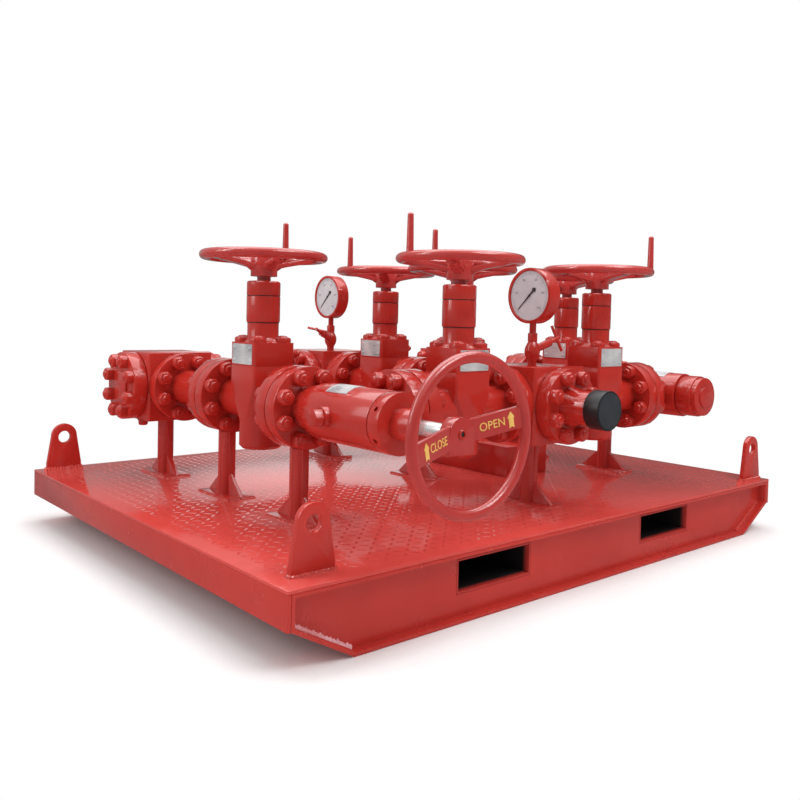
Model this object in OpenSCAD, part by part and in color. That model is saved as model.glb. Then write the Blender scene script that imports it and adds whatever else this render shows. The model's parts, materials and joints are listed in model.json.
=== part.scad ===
// Skid-mounted choke manifold: two chokes, six gate valves, four flow blocks on a forkable skid.
// X runs along the front edge, Y runs from front to back, Z is up and the floor is z = 0.

/* [Skid] */
// length of the skid along its front edge
skid_l = 2000; // [1700:10:2600]
// depth of the skid from front edge to rear edge
skid_w = 1588; // [1500:2:2200]
// height of the deck top above the floor
skid_h = 174; // [150:1:240]
// thickness of the deck plate
deck_t = 8; // [5:0.5:14]
// depth of the end plates below the deck top
end_drop = 85; // [60:1:120]
// thickness of the end plates
end_t = 10; // [6:1:20]
// width of the stiffening lip along the foot of an end plate
end_lip = 60; // [30:1:100]
// length of the sloped nose at each end of a runner
nose_l = 169; // [100:1:260]
// width of the runner flanges
runner_fl = 90; // [60:1:140]
// thickness of the runner flanges
runner_ft = 10; // [6:0.5:16]
// thickness of the runner web
web_t = 8; // [5:0.5:14]
// distance of the web behind the outer edge of the flanges
web_in = 28; // [15:1:70]

/* [Fork pockets] */
// distance between the centres of the two pockets
pocket_pitch = 757; // [500:1:1100]
// outside width of a pocket sleeve
pocket_w = 265; // [180:1:340]
// outside height of a pocket sleeve
pocket_h = 86; // [70:1:120]
// wall of a pocket sleeve
pocket_wall = 6; // [4:0.5:10]
// drop of the sleeve top below the deck top
pocket_drop = 29; // [20:1:50]

/* [Lifting lugs] */
// distance of the front left lug from the left end
lug_x_fl = 104; // [70:1:160]
// distance of the rear left lug from the left end
lug_x_rl = 91; // [70:1:160]
// distance of the right lugs from the right end
lug_x_right = 58; // [57:1:160]
// distance of the front left lug from the front edge
lug_in_fl = 72; // [20:1:160]
// distance of the front right lug from the front edge
lug_in_fr = 44; // [20:1:160]
// distance of the rear lugs from the rear edge
lug_in_rear = 16; // [10:1:160]
// thickness of a lug plate
lug_t = 16; // [12:1:40]
// height of a lug above the deck
lug_h = 152; // [110:1:220]
// width of a lug at its foot
lug_w = 112; // [90:1:180]
// radius of the round top of a lug
lug_r = 41; // [30:1:60]
// height of the lifting hole above the deck
lug_hole_z = 107; // [70:1:170]
// radius of the lifting hole
lug_hole_r = 20; // [12:0.5:26]
// height of the straight lower edge of a lug
lug_edge = 18; // [8:1:40]

/* [Line layout] */
// distance of the left column from the left end of the skid
col_left = 333; // [320:1:460]
// distance from a choke's crossing to the joint face of its side arm
choke_arm = 168; // [150:1:240]
// distance of the front row from the front edge
row_front = 259; // [220:1:420]
// thickness of the disc adapter between the rear bypass valve and its block
adapter_t = 31; // [20:1:80]
// height of the pipe centreline above the deck
line_h = 301; // [260:1:380]
// bore of the line
bore_d = 65; // [40:1:80]
// running and assembly clearance between round faces
fit_gap = 0.3; // [0.2:0.05:0.5]

/* [Flanges and blocks] */
// outside diameter of a flange
flange_d = 218; // [200:1:260]
// thickness of a flange
flange_t = 44; // [30:1:56]
// diameter of the necks behind the flanges
neck_d = 112; // [90:1:140]
// margin of a flow block beyond the rim of its flanges
block_edge = 1; // [0.5:0.5:20]
// chamfer along the upright edges of a block
block_ch = 6; // [2:0.5:14]
// diameter of the relief groove at a bolted joint
joint_d = 206; // [180:1:216]
// width of the relief at each side of a bolted joint
joint_w = 1.5; // [0.5:0.25:3]
// height of the raised middle of a blind flange
blind_rise = 6; // [3:0.5:12]
// diameter of the raised middle of a blind flange
blind_d = 96; // [70:1:110]

/* [Gate valves] */
// length of a gate valve from face to face
valve_l = 393; // [360:1:420]
// diameter of the round lower body
body_d = 122; // [114:1:160]
// depth of the lower body below the centreline
body_low = 133; // [110:1:160]
// rounding at the foot of the lower body
body_round = 9; // [3:0.5:16]
// height of the body top above the centreline
body_top = 99; // [90:1:140]
// side of the square upper body and bonnet
bonnet_w = 128; // [116:1:150]
// height of the square bonnet
bonnet_h = 65; // [50:1:100]
// chamfer on the upright edges of the bonnet
bonnet_ch = 5; // [2:0.5:12]
// diameter of the bonnet neck
bneck_d = 87; // [60:1:90]
// height of the bonnet neck
bneck_h = 56; // [40:1:80]
// flare radius at the foot of the bonnet neck
bneck_fl = 14; // [6:1:20]
// diameter of the bearing cap
cap_d = 93; // [84:1:110]
// height of the bearing cap
cap_h = 115; // [90:1:150]
// distance of the cap groove below the cap top
cap_groove_z = 40; // [20:1:60]
// width and depth of the cap groove
cap_groove = 2.5; // [1:0.25:5]
// chamfer at the cap ends
cap_ch = 4; // [1:0.5:8]
// diameter of the valve stem
stem_d = 38; // [24:1:50]
// depth of the stem inside the cap
stem_in = 40; // [20:1:70]

/* [Valve handwheels] */
// clearance between the handwheels of two valves bolted in line
wheel_gap = 39; // [20:1:110]
// thickness of the handwheel rim
rim_d = 27; // [20:1:36]
// diameter of the handwheel hub
hub_d = 74; // [60:1:90]
// height of the handwheel hub
hub_h = 52; // [34:1:60]
// gap between the cap and the hub
hub_gap = 13; // [8:1:20]
// rise of the rim centre above the hub foot
rim_rise = 56; // [34:1:60]
// number of spokes
spokes = 4; // [3:1:6]
// width of a spoke
spoke_w = 34; // [20:1:46]
// thickness of a spoke
spoke_t = 13; // [8:1:20]
// diameter of the grip pin at the rim
grip_d = 20; // [14:1:24]
// diameter of the grip pin near its top
grip_top = 16; // [10:1:22]
// height of the grip pin above the rim centre
grip_h = 113; // [80:1:150]
// turn of the grip pin on the left valve
grip_left = 37; // [0:1:359]
// turn of the spokes on the right valve, which has no grip pin
grip_right = 125; // [0:1:359]
// turn of the grip pin on the front left valve
grip_front_left = 172; // [0:1:359]
// turn of the grip pin on the front right valve
grip_front_right = 303; // [0:1:359]
// turn of the grip pin on the front bypass valve
grip_bypass_front = 194; // [0:1:359]
// turn of the grip pin on the rear bypass valve
grip_bypass_rear = 181; // [0:1:359]

/* [Chokes] */
// diameter of a choke body
choke_d = 146; // [130:1:170]
// distance from the crossing to the front of the adjustable choke body
choke_front = 162; // [120:1:180]
// distance from the crossing to the front of the fixed choke body
fixed_front = 108; // [70:1:120]
// distance from the crossing to the outlet face
choke_out = 217; // [200:1:240]
// distance where the body begins to taper towards the outlet
choke_back = 92; // [84:1:110]
// diameter of the side plug boss
plug_d = 52; // [40:1:70]
// distance of the side plug before the crossing
plug_lead = 0; // [0:1:30]
// reach of the side plug boss beyond the body
plug_rise = 14; // [8:1:24]
// size across corners of the plug hexagon
plug_hex = 46; // [30:1:54]
// height of the plug hexagon
plug_hex_h = 24; // [8:1:30]
// relief between the body and its nut
nut_gap = 4; // [2:0.5:8]
// length of the round bonnet nut
nut_l = 36; // [30:1:90]
// diameter of the round bonnet nut
nut_d = 146; // [120:1:160]
// diameter of the spanner holes in the nut
nut_hole = 13; // [8:1:20]
// diameter of the gland
gland_d = 78; // [50:1:90]
// length of the gland
gland_l = 66; // [36:1:120]
// diameter of the choke stem
choke_stem_d = 34; // [20:1:36]
// length of the stem inside the gland
choke_stem_in = 32; // [24:1:34]
// distance of the choke handwheel plane before the front edge
wheel_out = 166; // [120:1:200]
// outside diameter of the choke handwheel
cwheel_d = 354; // [280:1:380]
// thickness of the choke handwheel rim
crim_d = 25; // [18:1:34]
// diameter of the choke handwheel hub
chub_d = 72; // [56:1:90]
// length of the choke handwheel hub
chub_l = 32; // [26:1:80]
// distance of the hub front behind the rim plane
chub_set = 28; // [0:1:40]
// depth of the flat hub foot below the wheel axis
chub_low = 44; // [38:1:60]
// length of the stem inside the hub
chub_in = 22; // [16:1:40]
// height of a flat spoke of the choke handwheel
cbar_h = 48; // [30:1:60]
// thickness of a flat spoke
cbar_t = 12; // [6:1:16]
// distance of a spoke root behind the hub front
cbar_root = 16; // [8:1:30]
// turn of the right spoke above the level
cbar_right = 12; // [0:1:30]
// turn of the left spoke below the level
cbar_left = 11; // [0:1:40]
// length of the blank choke end from the body front
blank_l = 76; // [60:1:130]
// diameter of the blank choke end
blank_d = 136; // [120:1:150]
// thickness of the end cap on the blank choke
blank_cap_t = 18; // [10:1:30]
// diameter of the end cap on the blank choke
blank_cap_d = 128; // [110:1:146]
// diameter of the raised disc on the end cap
blank_disc_d = 70; // [50:1:90]
// rise of the raised disc
blank_disc_t = 5; // [2:0.5:10]

/* [Inlet] */
// length of the inlet hub before its flange
inlet_l = 124; // [80:1:130]
// diameter of the inlet hub next to the flange
inlet_d1 = 118; // [100:1:140]
// diameter of the inlet hub at its end
inlet_d2 = 96; // [90:1:120]
// diameter of the protection cap
icap_d = 110; // [104:1:134]
// length of the protection cap
icap_l = 50; // [40:1:70]
// wall of the protection cap
icap_wall = 6; // [4:0.5:10]

/* [Gauges] */
// diameter of a gauge case
gauge_d = 165; // [140:1:180]
// depth of a gauge case
gauge_t = 46; // [36:1:64]
// height of the gauge centre above the block top
gauge_h = 206; // [180:1:260]
// width of the bezel ring
bezel_w = 9; // [5:0.5:14]
// depth of the dial inside the bezel
bezel_deep = 5; // [2:0.5:8]
// diameter of the gauge stem
gstem_d = 20; // [12:1:28]
// size across corners of the gauge valve body
gvalve_d = 44; // [34:1:56]
// height of the gauge valve body
gvalve_h = 74; // [60:1:110]
// diameter of the foot nipple of the gauge valve
gfoot_d = 26; // [16:1:32]
// height of the foot nipple
gfoot_h = 14; // [8:1:20]
// diameter of the angled valve arm
garm_d = 24; // [16:1:30]
// reach of the angled valve arm
garm_l = 84; // [60:1:100]
// length of the cross handle
gbar_l = 84; // [60:1:110]
// diameter of the cross handle
gbar_d = 9; // [6:0.5:14]
// tilt of the arm above the level
garm_tilt = 20; // [20:1:60]
// diameter of the handle spindle
gspin_d = 12; // [8:0.5:16]
// length of the spindle inside the arm
gspin_in = 24; // [14:1:36]
// turn of the front arm about the gauge stem
garm_front = 0; // [-60:1:60]
// turn of the rear arm about the gauge stem
garm_rear = 208; // [120:1:240]
// turn of the front cross handle about its spindle
gbar_front = -13; // [-90:1:90]
// turn of the rear cross handle about its spindle
gbar_rear = 80; // [-90:1:90]
// free length of the spindle beyond the arm
gspin_out = 44; // [30:1:60]

/* [Pedestals] */
// width of a pedestal column
ped_w = 54; // [40:1:80]
// width of the straight rib of a pedestal
ped_rib = 52; // [30:1:80]
// thickness of the pedestal plates
ped_t = 14; // [8:1:24]
// width of a pedestal foot
ped_foot = 190; // [120:1:220]
// height of the straight lower edge of a pedestal plate
ped_edge = 6; // [2:0.5:12]
// width of a pedestal's base plate
ped_base = 86; // [60:1:120]
// height of the flared foot
ped_flare = 64; // [40:1:100]

/* [Deck box] */
// distance of the deck box from the middle column
dbox_off = 231; // [160:1:300]
// distance of the box from the front edge
dbox_y = 560; // [440:1:640]
// width of the box
dbox_w = 208; // [150:1:240]
// length of the box from front to rear
dbox_l = 400; // [250:1:500]
// height of the box
dbox_h = 105; // [60:1:150]

/* [Hidden] */
$fn = 96;
eps = 1;
overhang = wheel_out + crim_d / 2;
y_front = (overhang - skid_w) / 2;
y_mid = y_front + skid_w / 2;
zc = skid_h + line_h;
block_w = flange_d + 2 * block_edge;
half = block_w / 2;
top_z = skid_h - deck_t;
nose_z = skid_h - end_drop;
pocket_z = skid_h - pocket_drop - pocket_h;
col_pitch = half + valve_l + choke_arm;
col_mid = col_left + col_pitch;
dbox_x = col_mid + dbox_off;
col_right = col_left + 2 * col_pitch;
v3_x = col_mid - half - valve_l / 2;
v4_x = col_mid + half + valve_l / 2;
side_y = row_front + choke_out;
v1_y = side_y + valve_l / 2;
v6_y = row_front + half + valve_l / 2;
v2_y = v6_y + valve_l;
rear_face = v2_y + valve_l / 2 + adapter_t;
row_rear = rear_face + half;
wheel_d = valve_l - wheel_gap;
cap_z = body_top + bonnet_h + bneck_h;
hub_z = cap_z + cap_h + hub_gap;
rim_z = hub_z + rim_rise;
rim_r = (wheel_d - rim_d) / 2;
crim_r = (cwheel_d - crim_d) / 2;
half_turn = 180;
spoke_step = half_turn / spokes;
wheel_y = -wheel_out;
gland_end = choke_front + nut_gap + nut_l + gland_l;
stem_tip = wheel_y + chub_set + chub_l - chub_in;
paint = [0.70, 0.13, 0.11];
steel = [0.75, 0.76, 0.77];
rubber = [0.06, 0.07, 0.08];

function fx(x) = x - skid_l / 2;
function fy(y) = y_front + y;

module at(x, y, z = 0) translate([fx(x), fy(y), z]) children();

module on_line(x, y) at(x, y, zc) children();

// turns a piece drawn along X so that it runs along Y
module along_y() rotate([0, 0, 90]) children();

module rod(d, l) rotate([0, 90, 0]) cylinder(d = d, h = l);

// flat outline in X and Z given a thickness in Y from zero to t
module slab(t) translate([0, t, 0]) rotate([90, 0, 0]) linear_extrude(t) children();

module mirror_rows() translate([0, 2 * y_mid, 0]) mirror([0, 1, 0]) children();

module chamfered(w, d, h, c) linear_extrude(h)
    polygon([[c - w / 2, -d / 2], [w / 2 - c, -d / 2], [w / 2, c - d / 2], [w / 2, d / 2 - c],
        [w / 2 - c, d / 2], [c - w / 2, d / 2], [-w / 2, d / 2 - c], [-w / 2, c - d / 2]]);

module deck_plate() color(paint)
    at(0, 0, top_z) cube([skid_l, skid_w, deck_t]);

module runner_outline(t)
    polygon([[fx(end_t + t), top_z - t], [fx(end_t + t), nose_z + t / 2], [fx(nose_l + t / 2), t],
        [fx(skid_l - nose_l - t / 2), t], [fx(skid_l - end_t - t), nose_z + t / 2],
        [fx(skid_l - end_t - t), top_z - t]]);

module pocket_places() for (s = [-1, 1]) translate([s * pocket_pitch / 2, 0, pocket_z]) children();

module front_runner() difference() {
    union() {
        translate([0, fy(0), 0]) slab(runner_fl) difference() {
            runner_outline(0);
            runner_outline(runner_ft);
        }
        translate([0, fy(web_in), 0]) slab(web_t) runner_outline(0);
    }
    pocket_places() translate([-pocket_w / 2, fy(-eps), 0]) cube([pocket_w, runner_fl + 2 * eps, pocket_h]);
}

module runners() color(paint) {
    front_runner();
    mirror_rows() front_runner();
}

module end_beam() {
    at(0, 0, nose_z) cube([end_t, skid_w, top_z - nose_z]);
    at(0, runner_fl, nose_z) cube([end_lip, skid_w - 2 * runner_fl, end_t]);
}

module end_beams() color(paint) {
    end_beam();
    mirror([1, 0, 0]) end_beam();
}

module fork_sleeves() color(paint)
    pocket_places() translate([-pocket_w / 2, fy(web_in), 0]) difference() {
        cube([pocket_w, skid_w - 2 * web_in, pocket_h]);
        translate([pocket_wall, -eps, pocket_wall])
            cube([pocket_w - 2 * pocket_wall, skid_w - 2 * web_in + 2 * eps, pocket_h - 2 * pocket_wall]);
    }

module lug() slab(lug_t) difference() {
    union() {
        polygon([[-lug_w / 2, 0], [lug_w / 2, 0], [lug_w / 2, lug_edge], [lug_r, lug_h - lug_r],
            [-lug_r, lug_h - lug_r], [-lug_w / 2, lug_edge]]);
        translate([0, lug_h - lug_r]) circle(r = lug_r);
    }
    translate([0, lug_hole_z]) circle(r = lug_hole_r);
}

module lifting_lugs() color(paint)
    for (p = [[lug_x_fl, lug_in_fl], [skid_l - lug_x_right, lug_in_fr],
        [lug_x_rl, skid_w - lug_in_rear], [skid_l - lug_x_right, skid_w - lug_in_rear]])
        at(p[0], p[1] - lug_t / 2, skid_h) lug();

// plate along Y with a flared foot, crossed by a straight rib along X
module pedestal(h) {
    along_y() translate([0, -ped_t / 2, 0]) slab(ped_t)
        polygon([[-ped_foot / 2, 0], [ped_foot / 2, 0], [ped_foot / 2, ped_edge], [ped_w / 2, ped_flare],
            [ped_w / 2, h], [-ped_w / 2, h], [-ped_w / 2, ped_flare], [-ped_foot / 2, ped_edge]]);
    translate([-ped_rib / 2, -ped_t / 2, 0]) cube([ped_rib, ped_t, h]);
    translate([-ped_base / 2, -ped_foot / 2, 0]) cube([ped_base, ped_foot, ped_edge]);
}

// pedestal that cradles a bolted joint running along Y
module cradle_y() difference() {
    pedestal(line_h - flange_d / 4);
    translate([0, ped_foot, line_h]) rotate([90, 0, 0]) cylinder(d = flange_d, h = 2 * ped_foot);
}

module pedestals() color(paint) {
    for (x = [col_left, col_mid, col_right]) at(x, row_rear, skid_h) pedestal(line_h - half);
    at(col_mid, row_front, skid_h) pedestal(line_h - half);
    for (x = [col_left, col_right], y = [side_y, side_y + valve_l]) at(x, y, skid_h) cradle_y();
    at(col_mid, v6_y + valve_l / 2, skid_h) cradle_y();
}

module deck_box() color(paint) at(dbox_x, dbox_y, skid_h) cube([dbox_w, dbox_l, dbox_h]);

module flow_block() difference() {
    translate([0, 0, -half]) chamfered(block_w, block_w, block_w, block_ch);
    translate([-half - eps, 0, 0]) rod(bore_d, block_w + 2 * eps);
    along_y() translate([-half - eps, 0, 0]) rod(bore_d, block_w + 2 * eps);
}

module gauge_tap() cylinder(d = gfoot_d / 2, h = block_w);

module front_block() color(paint) on_line(col_mid, row_front) difference() {
    flow_block();
    gauge_tap();
}

module rear_left_block() color(paint) on_line(col_left, row_rear) flow_block();

module rear_center_block() color(paint) on_line(col_mid, row_rear) difference() {
    flow_block();
    gauge_tap();
}

module rear_right_block() color(paint) on_line(col_right, row_rear) flow_block();

// one flange lying on X from zero to its thickness with its joint face at zero
module flange() {
    rod(joint_d, joint_w);
    translate([joint_w, 0, 0]) rod(flange_d, flange_t - joint_w);
}

module blind() {
    flange();
    translate([flange_t, 0, 0]) rod(blind_d, blind_rise);
}

module blind_flanges() color(paint) {
    on_line(col_right + half, row_rear) blind();
    on_line(col_left - half, row_rear) mirror([1, 0, 0]) blind();
}

module spool(l) difference() {
    union() {
        flange();
        translate([l, 0, 0]) mirror([1, 0, 0]) flange();
        translate([flange_t / 2, 0, 0]) rod(neck_d, l - flange_t);
    }
    translate([-eps, 0, 0]) rod(bore_d, l + 2 * eps);
}

module spools() color(paint) {
    for (x = [col_left, col_mid]) on_line(x + half, row_rear) spool(col_pitch - block_w);
    for (x = [col_left, col_right])
        on_line(x, side_y + valve_l) along_y() spool(rear_face - side_y - valve_l);
}

module rear_adapter() color(paint) on_line(col_mid, rear_face - adapter_t) along_y() difference() {
    union() {
        rod(joint_d, adapter_t);
        translate([joint_w, 0, 0]) rod(flange_d, adapter_t - 2 * joint_w);
    }
    translate([-eps, 0, 0]) rod(bore_d, adapter_t + 2 * eps);
}

module inlet_hub() color(paint) on_line(col_mid, row_front - half) rotate([0, 0, -90]) difference() {
    union() {
        flange();
        translate([flange_t, 0, 0]) rotate([0, 90, 0]) cylinder(d1 = inlet_d1, d2 = inlet_d2, h = (inlet_l - icap_l) / 2);
        translate([flange_t, 0, 0]) rod(inlet_d2, inlet_l);
    }
    translate([-eps, 0, 0]) rod(bore_d, flange_t + inlet_l + 2 * eps);
}

module inlet_cap() color(rubber)
    on_line(col_mid, row_front - half - flange_t - inlet_l) rotate([0, 0, -90]) difference() {
        translate([icap_wall - icap_l, 0, 0]) rod(icap_d, icap_l);
        translate([-icap_l, 0, 0]) rod(inlet_d2 + 2 * fit_gap, icap_l);
    }

module upper_body() intersection() {
    translate([0, 0, -body_low / 2]) chamfered(bonnet_w, bonnet_w, body_top + body_low / 2, bonnet_ch);
    translate([0, 0, -body_low / 2])
        cylinder(d1 = body_d - bonnet_ch, d2 = bonnet_w * sqrt(2), h = body_low / 2 + body_top / 2);
}

module valve_body() difference() {
    union() {
        for (s = [0, 1]) mirror([s, 0, 0]) translate([-valve_l / 2, 0, 0]) flange();
        translate([flange_t / 2 - valve_l / 2, 0, 0]) rod(neck_d, valve_l - flange_t);
        rotate_extrude() polygon([[0, -body_low], [body_d / 2 - body_round, -body_low],
            [body_d / 2, body_round - body_low], [body_d / 2, body_top / 2], [0, body_top / 2]]);
        upper_body();
        translate([0, 0, body_top / 2]) chamfered(bonnet_w, bonnet_w, body_top / 2, bonnet_ch);
    }
    translate([-valve_l / 2 - eps, 0, 0]) rod(bore_d, valve_l + 2 * eps);
    cylinder(d = stem_d, h = body_top + eps);
}

module valve_bonnet() difference() {
    union() {
        translate([0, 0, body_top]) chamfered(bonnet_w, bonnet_w, bonnet_h, bonnet_ch);
        translate([0, 0, body_top + bonnet_h]) rotate_extrude()
            polygon([[0, 0], [bneck_d / 2 + bneck_fl, 0], [bneck_d / 2 + bneck_fl / 4, bneck_fl / 2],
                [bneck_d / 2, bneck_fl], [bneck_d / 2, bneck_h], [0, bneck_h]]);
        translate([0, 0, cap_z]) rotate_extrude()
            polygon([[0, 0], [cap_d / 2 - cap_ch / 2, 0], [cap_d / 2, cap_ch / 2],
                [cap_d / 2, cap_h - cap_groove_z - cap_groove],
                [cap_d / 2 - cap_groove, cap_h - cap_groove_z - cap_groove],
                [cap_d / 2 - cap_groove, cap_h - cap_groove_z],
                [cap_d / 2, cap_h - cap_groove_z], [cap_d / 2, cap_h - cap_ch],
                [cap_d / 2 - cap_ch, cap_h], [0, cap_h]]);
    }
    translate([0, 0, cap_z + cap_h - stem_in]) cylinder(d = stem_d + 2 * fit_gap, h = stem_in + eps);
}

module spoke() {
    run = rim_r - hub_d / 4;
    rise = rim_rise - hub_h / 2;
    translate([hub_d / 4, -spoke_w / 2, hub_z + hub_h / 2 - spoke_t / 2])
        multmatrix([[1, 0, 0, 0], [0, 1, 0, 0], [rise / run, 0, 1, 0]])
        cube([run, spoke_w, spoke_t]);
}

module valve_wheel(turn) {
    translate([0, 0, cap_z + cap_h - stem_in]) cylinder(d = stem_d, h = stem_in + hub_gap + eps);
    translate([0, 0, hub_z]) cylinder(d = hub_d, h = hub_h);
    translate([0, 0, rim_z]) rotate_extrude() translate([rim_r, 0]) circle(d = rim_d);
    for (i = [0:spokes - 1]) rotate([0, 0, turn + (2 * i + 1) * spoke_step]) spoke();
}

module grip(turn) rotate([0, 0, turn]) translate([rim_r, 0, rim_z]) {
    cylinder(d1 = grip_d, d2 = grip_top, h = grip_h - grip_top / 4);
    translate([0, 0, grip_h - grip_top / 4]) cylinder(d1 = grip_top, d2 = grip_top / 2, h = grip_top / 4);
}

module choke_body(front) difference() {
    union() {
        translate([-front, 0, 0]) rod(choke_d, front + choke_back);
        translate([choke_back, 0, 0]) rotate([0, 90, 0])
            cylinder(d1 = choke_d, d2 = neck_d, h = choke_out - flange_t - choke_back);
        translate([choke_out, 0, 0]) mirror([1, 0, 0]) flange();
        rotate([0, 0, -90]) rod(neck_d, choke_arm - flange_t / 2);
        rotate([0, 0, -90]) translate([choke_arm, 0, 0]) mirror([1, 0, 0]) flange();
        translate([-plug_lead, 0, 0]) rotate([0, 0, 90]) rod(plug_d, choke_d / 2 + plug_rise);
        translate([-plug_lead, choke_d / 2 + plug_rise, 0]) rotate([-90, 0, 0])
            cylinder(d = plug_hex, h = plug_hex_h, $fn = 6);
    }
    translate([-front - eps, 0, 0]) rod(bore_d, front + choke_out + 2 * eps);
    rotate([0, 0, -90]) rod(bore_d, choke_arm + eps);
}

module choke_a_body() color(paint) on_line(col_left, row_front) along_y() choke_body(choke_front);

module choke_b_body() color(paint) on_line(col_right, row_front) mirror([1, 0, 0]) along_y() choke_body(fixed_front);

// pieces on a choke axis are drawn along X away from the body front
module before_choke(x, front) on_line(x, row_front) rotate([0, 0, -90]) translate([front, 0, 0]) children();

module choke_a_bonnet() color(paint) before_choke(col_left, choke_front) difference() {
    union() {
        rod(nut_d - 4 * nut_gap, nut_gap + eps);
        translate([nut_gap, 0, 0]) rod(nut_d, nut_l);
        translate([nut_gap + nut_l, 0, 0]) rod(gland_d, gland_l);
    }
    translate([nut_gap + nut_l + gland_l - choke_stem_in, 0, 0])
        rod(choke_stem_d + 2 * fit_gap, choke_stem_in + eps);
    for (t = [0:60:300]) rotate([t, 0, 0]) translate([nut_gap + nut_l / 2, 0, nut_d / 2 - nut_hole])
        cylinder(d = nut_hole, h = 2 * nut_hole);
}

module choke_a_stem() color(steel)
    on_line(col_left, row_front - gland_end + choke_stem_in) rotate([0, 0, -90])
        rod(choke_stem_d, row_front - gland_end + choke_stem_in - stem_tip);

// flat spoke that leans from its root in the hub to the rim plane
module cbar(turn) rotate([0, turn, 0]) translate([0, chub_set + cbar_root - cbar_t / 2, -cbar_h / 2])
    multmatrix([[1, 0, 0, 0], [-(chub_set + cbar_root) / crim_r, 1, 0, 0], [0, 0, 1, 0]])
    cube([crim_r, cbar_t, cbar_h]);

module choke_a_wheel() color(paint) on_line(col_left, wheel_y) difference() {
    union() {
        rotate([90, 0, 0]) rotate_extrude() translate([crim_r, 0]) circle(d = crim_d);
        translate([0, chub_set, 0]) rotate([-90, 0, 0]) cylinder(d = chub_d, h = chub_l);
        translate([-chub_d / 2, chub_set, -chub_low]) cube([chub_d, chub_l, chub_low]);
        cbar(-cbar_right);
        cbar(half_turn - cbar_left);
    }
    translate([0, chub_set + chub_l - chub_in, 0]) rotate([-90, 0, 0])
        cylinder(d = choke_stem_d + 2 * fit_gap, h = chub_in + eps);
}

module choke_b_cap() color(paint) before_choke(col_right, fixed_front) {
    rod(blank_d - 4 * nut_gap, nut_gap + eps);
    translate([nut_gap, 0, 0]) rod(blank_d, blank_l - nut_gap - blank_cap_t);
    translate([blank_l - blank_cap_t - eps, 0, 0]) rod(blank_cap_d, blank_cap_t + eps);
    translate([blank_l, 0, 0]) rod(blank_disc_d, blank_disc_t);
}

// a gauge that faces towards negative X, standing on a block top
module gauge() translate([0, 0, half + gauge_h]) {
    translate([-gauge_t / 2, 0, 0]) difference() {
        rod(gauge_d, gauge_t);
        translate([-eps, 0, 0]) rod(gauge_d - 2 * bezel_w, bezel_deep + eps);
    }
    translate([0, 0, gfoot_h + gvalve_h - gauge_h]) cylinder(d = gstem_d, h = gauge_h - gfoot_h - gvalve_h);
}

module gauge_arm() translate([0, 0, half + gfoot_h + gvalve_h / 3]) rotate([0, -garm_tilt, 0]) children();

module gauge_valve() difference() {
    union() {
        translate([0, 0, half]) cylinder(d = gfoot_d, h = gfoot_h + eps);
        translate([0, 0, half + gfoot_h]) cylinder(d = gvalve_d, h = gvalve_h, $fn = 6);
        gauge_arm() rod(garm_d, garm_l);
    }
    gauge_arm() translate([garm_l - gspin_in, 0, 0]) rod(gspin_d + 2 * fit_gap, gspin_in + eps);
}

module gauge_handle(turn) gauge_arm() rotate([turn, 0, 0]) {
    translate([garm_l - gspin_in, 0, 0]) rod(gspin_d, gspin_in + gspin_out);
    translate([garm_l + gspin_out - gbar_d, 0, -gbar_l / 2]) cylinder(d = gbar_d, h = gbar_l);
}

module front_gauge() color(paint) on_line(col_mid, row_front) gauge();

module front_gauge_valve() color(paint) on_line(col_mid, row_front) rotate([0, 0, garm_front]) gauge_valve();

module front_gauge_handle() color(paint) on_line(col_mid, row_front)
    rotate([0, 0, garm_front]) gauge_handle(gbar_front);

module rear_gauge() color(paint) on_line(col_mid, row_rear) gauge();

module rear_gauge_valve() color(paint) on_line(col_mid, row_rear) rotate([0, 0, garm_rear]) gauge_valve();

module rear_gauge_handle() color(paint) on_line(col_mid, row_rear)
    rotate([0, 0, garm_rear]) gauge_handle(gbar_rear);

module left_valve() on_line(col_left, v1_y) children();

module right_valve() on_line(col_right, v1_y) children();

module front_left_valve() on_line(v3_x, row_front) children();

module front_right_valve() on_line(v4_x, row_front) children();

module bypass_front_valve() on_line(col_mid, v6_y) children();

module bypass_rear_valve() on_line(col_mid, v2_y) children();

module left_valve_body() color(paint) left_valve() along_y() valve_body();

module left_valve_bonnet() color(paint) left_valve() valve_bonnet();

module left_valve_wheel() color(paint) left_valve() {
    valve_wheel(grip_left);
    grip(grip_left);
}

module right_valve_body() color(paint) right_valve() along_y() valve_body();

module right_valve_bonnet() color(paint) right_valve() valve_bonnet();

module right_valve_wheel() color(paint) right_valve() valve_wheel(grip_right);

module front_left_valve_body() color(paint) front_left_valve() valve_body();

module front_left_valve_bonnet() color(paint) front_left_valve() valve_bonnet();

module front_left_valve_wheel() color(paint) front_left_valve() {
    valve_wheel(grip_front_left);
    grip(grip_front_left);
}

module front_right_valve_body() color(paint) front_right_valve() valve_body();

module front_right_valve_bonnet() color(paint) front_right_valve() valve_bonnet();

module front_right_valve_wheel() color(paint) front_right_valve() {
    valve_wheel(grip_front_right);
    grip(grip_front_right);
}

module bypass_front_valve_body() color(paint) bypass_front_valve() along_y() valve_body();

module bypass_front_valve_bonnet() color(paint) bypass_front_valve() valve_bonnet();

module bypass_front_valve_wheel() color(paint) bypass_front_valve() {
    valve_wheel(grip_bypass_front);
    grip(grip_bypass_front);
}

module bypass_rear_valve_body() color(paint) bypass_rear_valve() along_y() valve_body();

module bypass_rear_valve_bonnet() color(paint) bypass_rear_valve() valve_bonnet();

module bypass_rear_valve_wheel() color(paint) bypass_rear_valve() {
    valve_wheel(grip_bypass_rear);
    grip(grip_bypass_rear);
}

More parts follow.
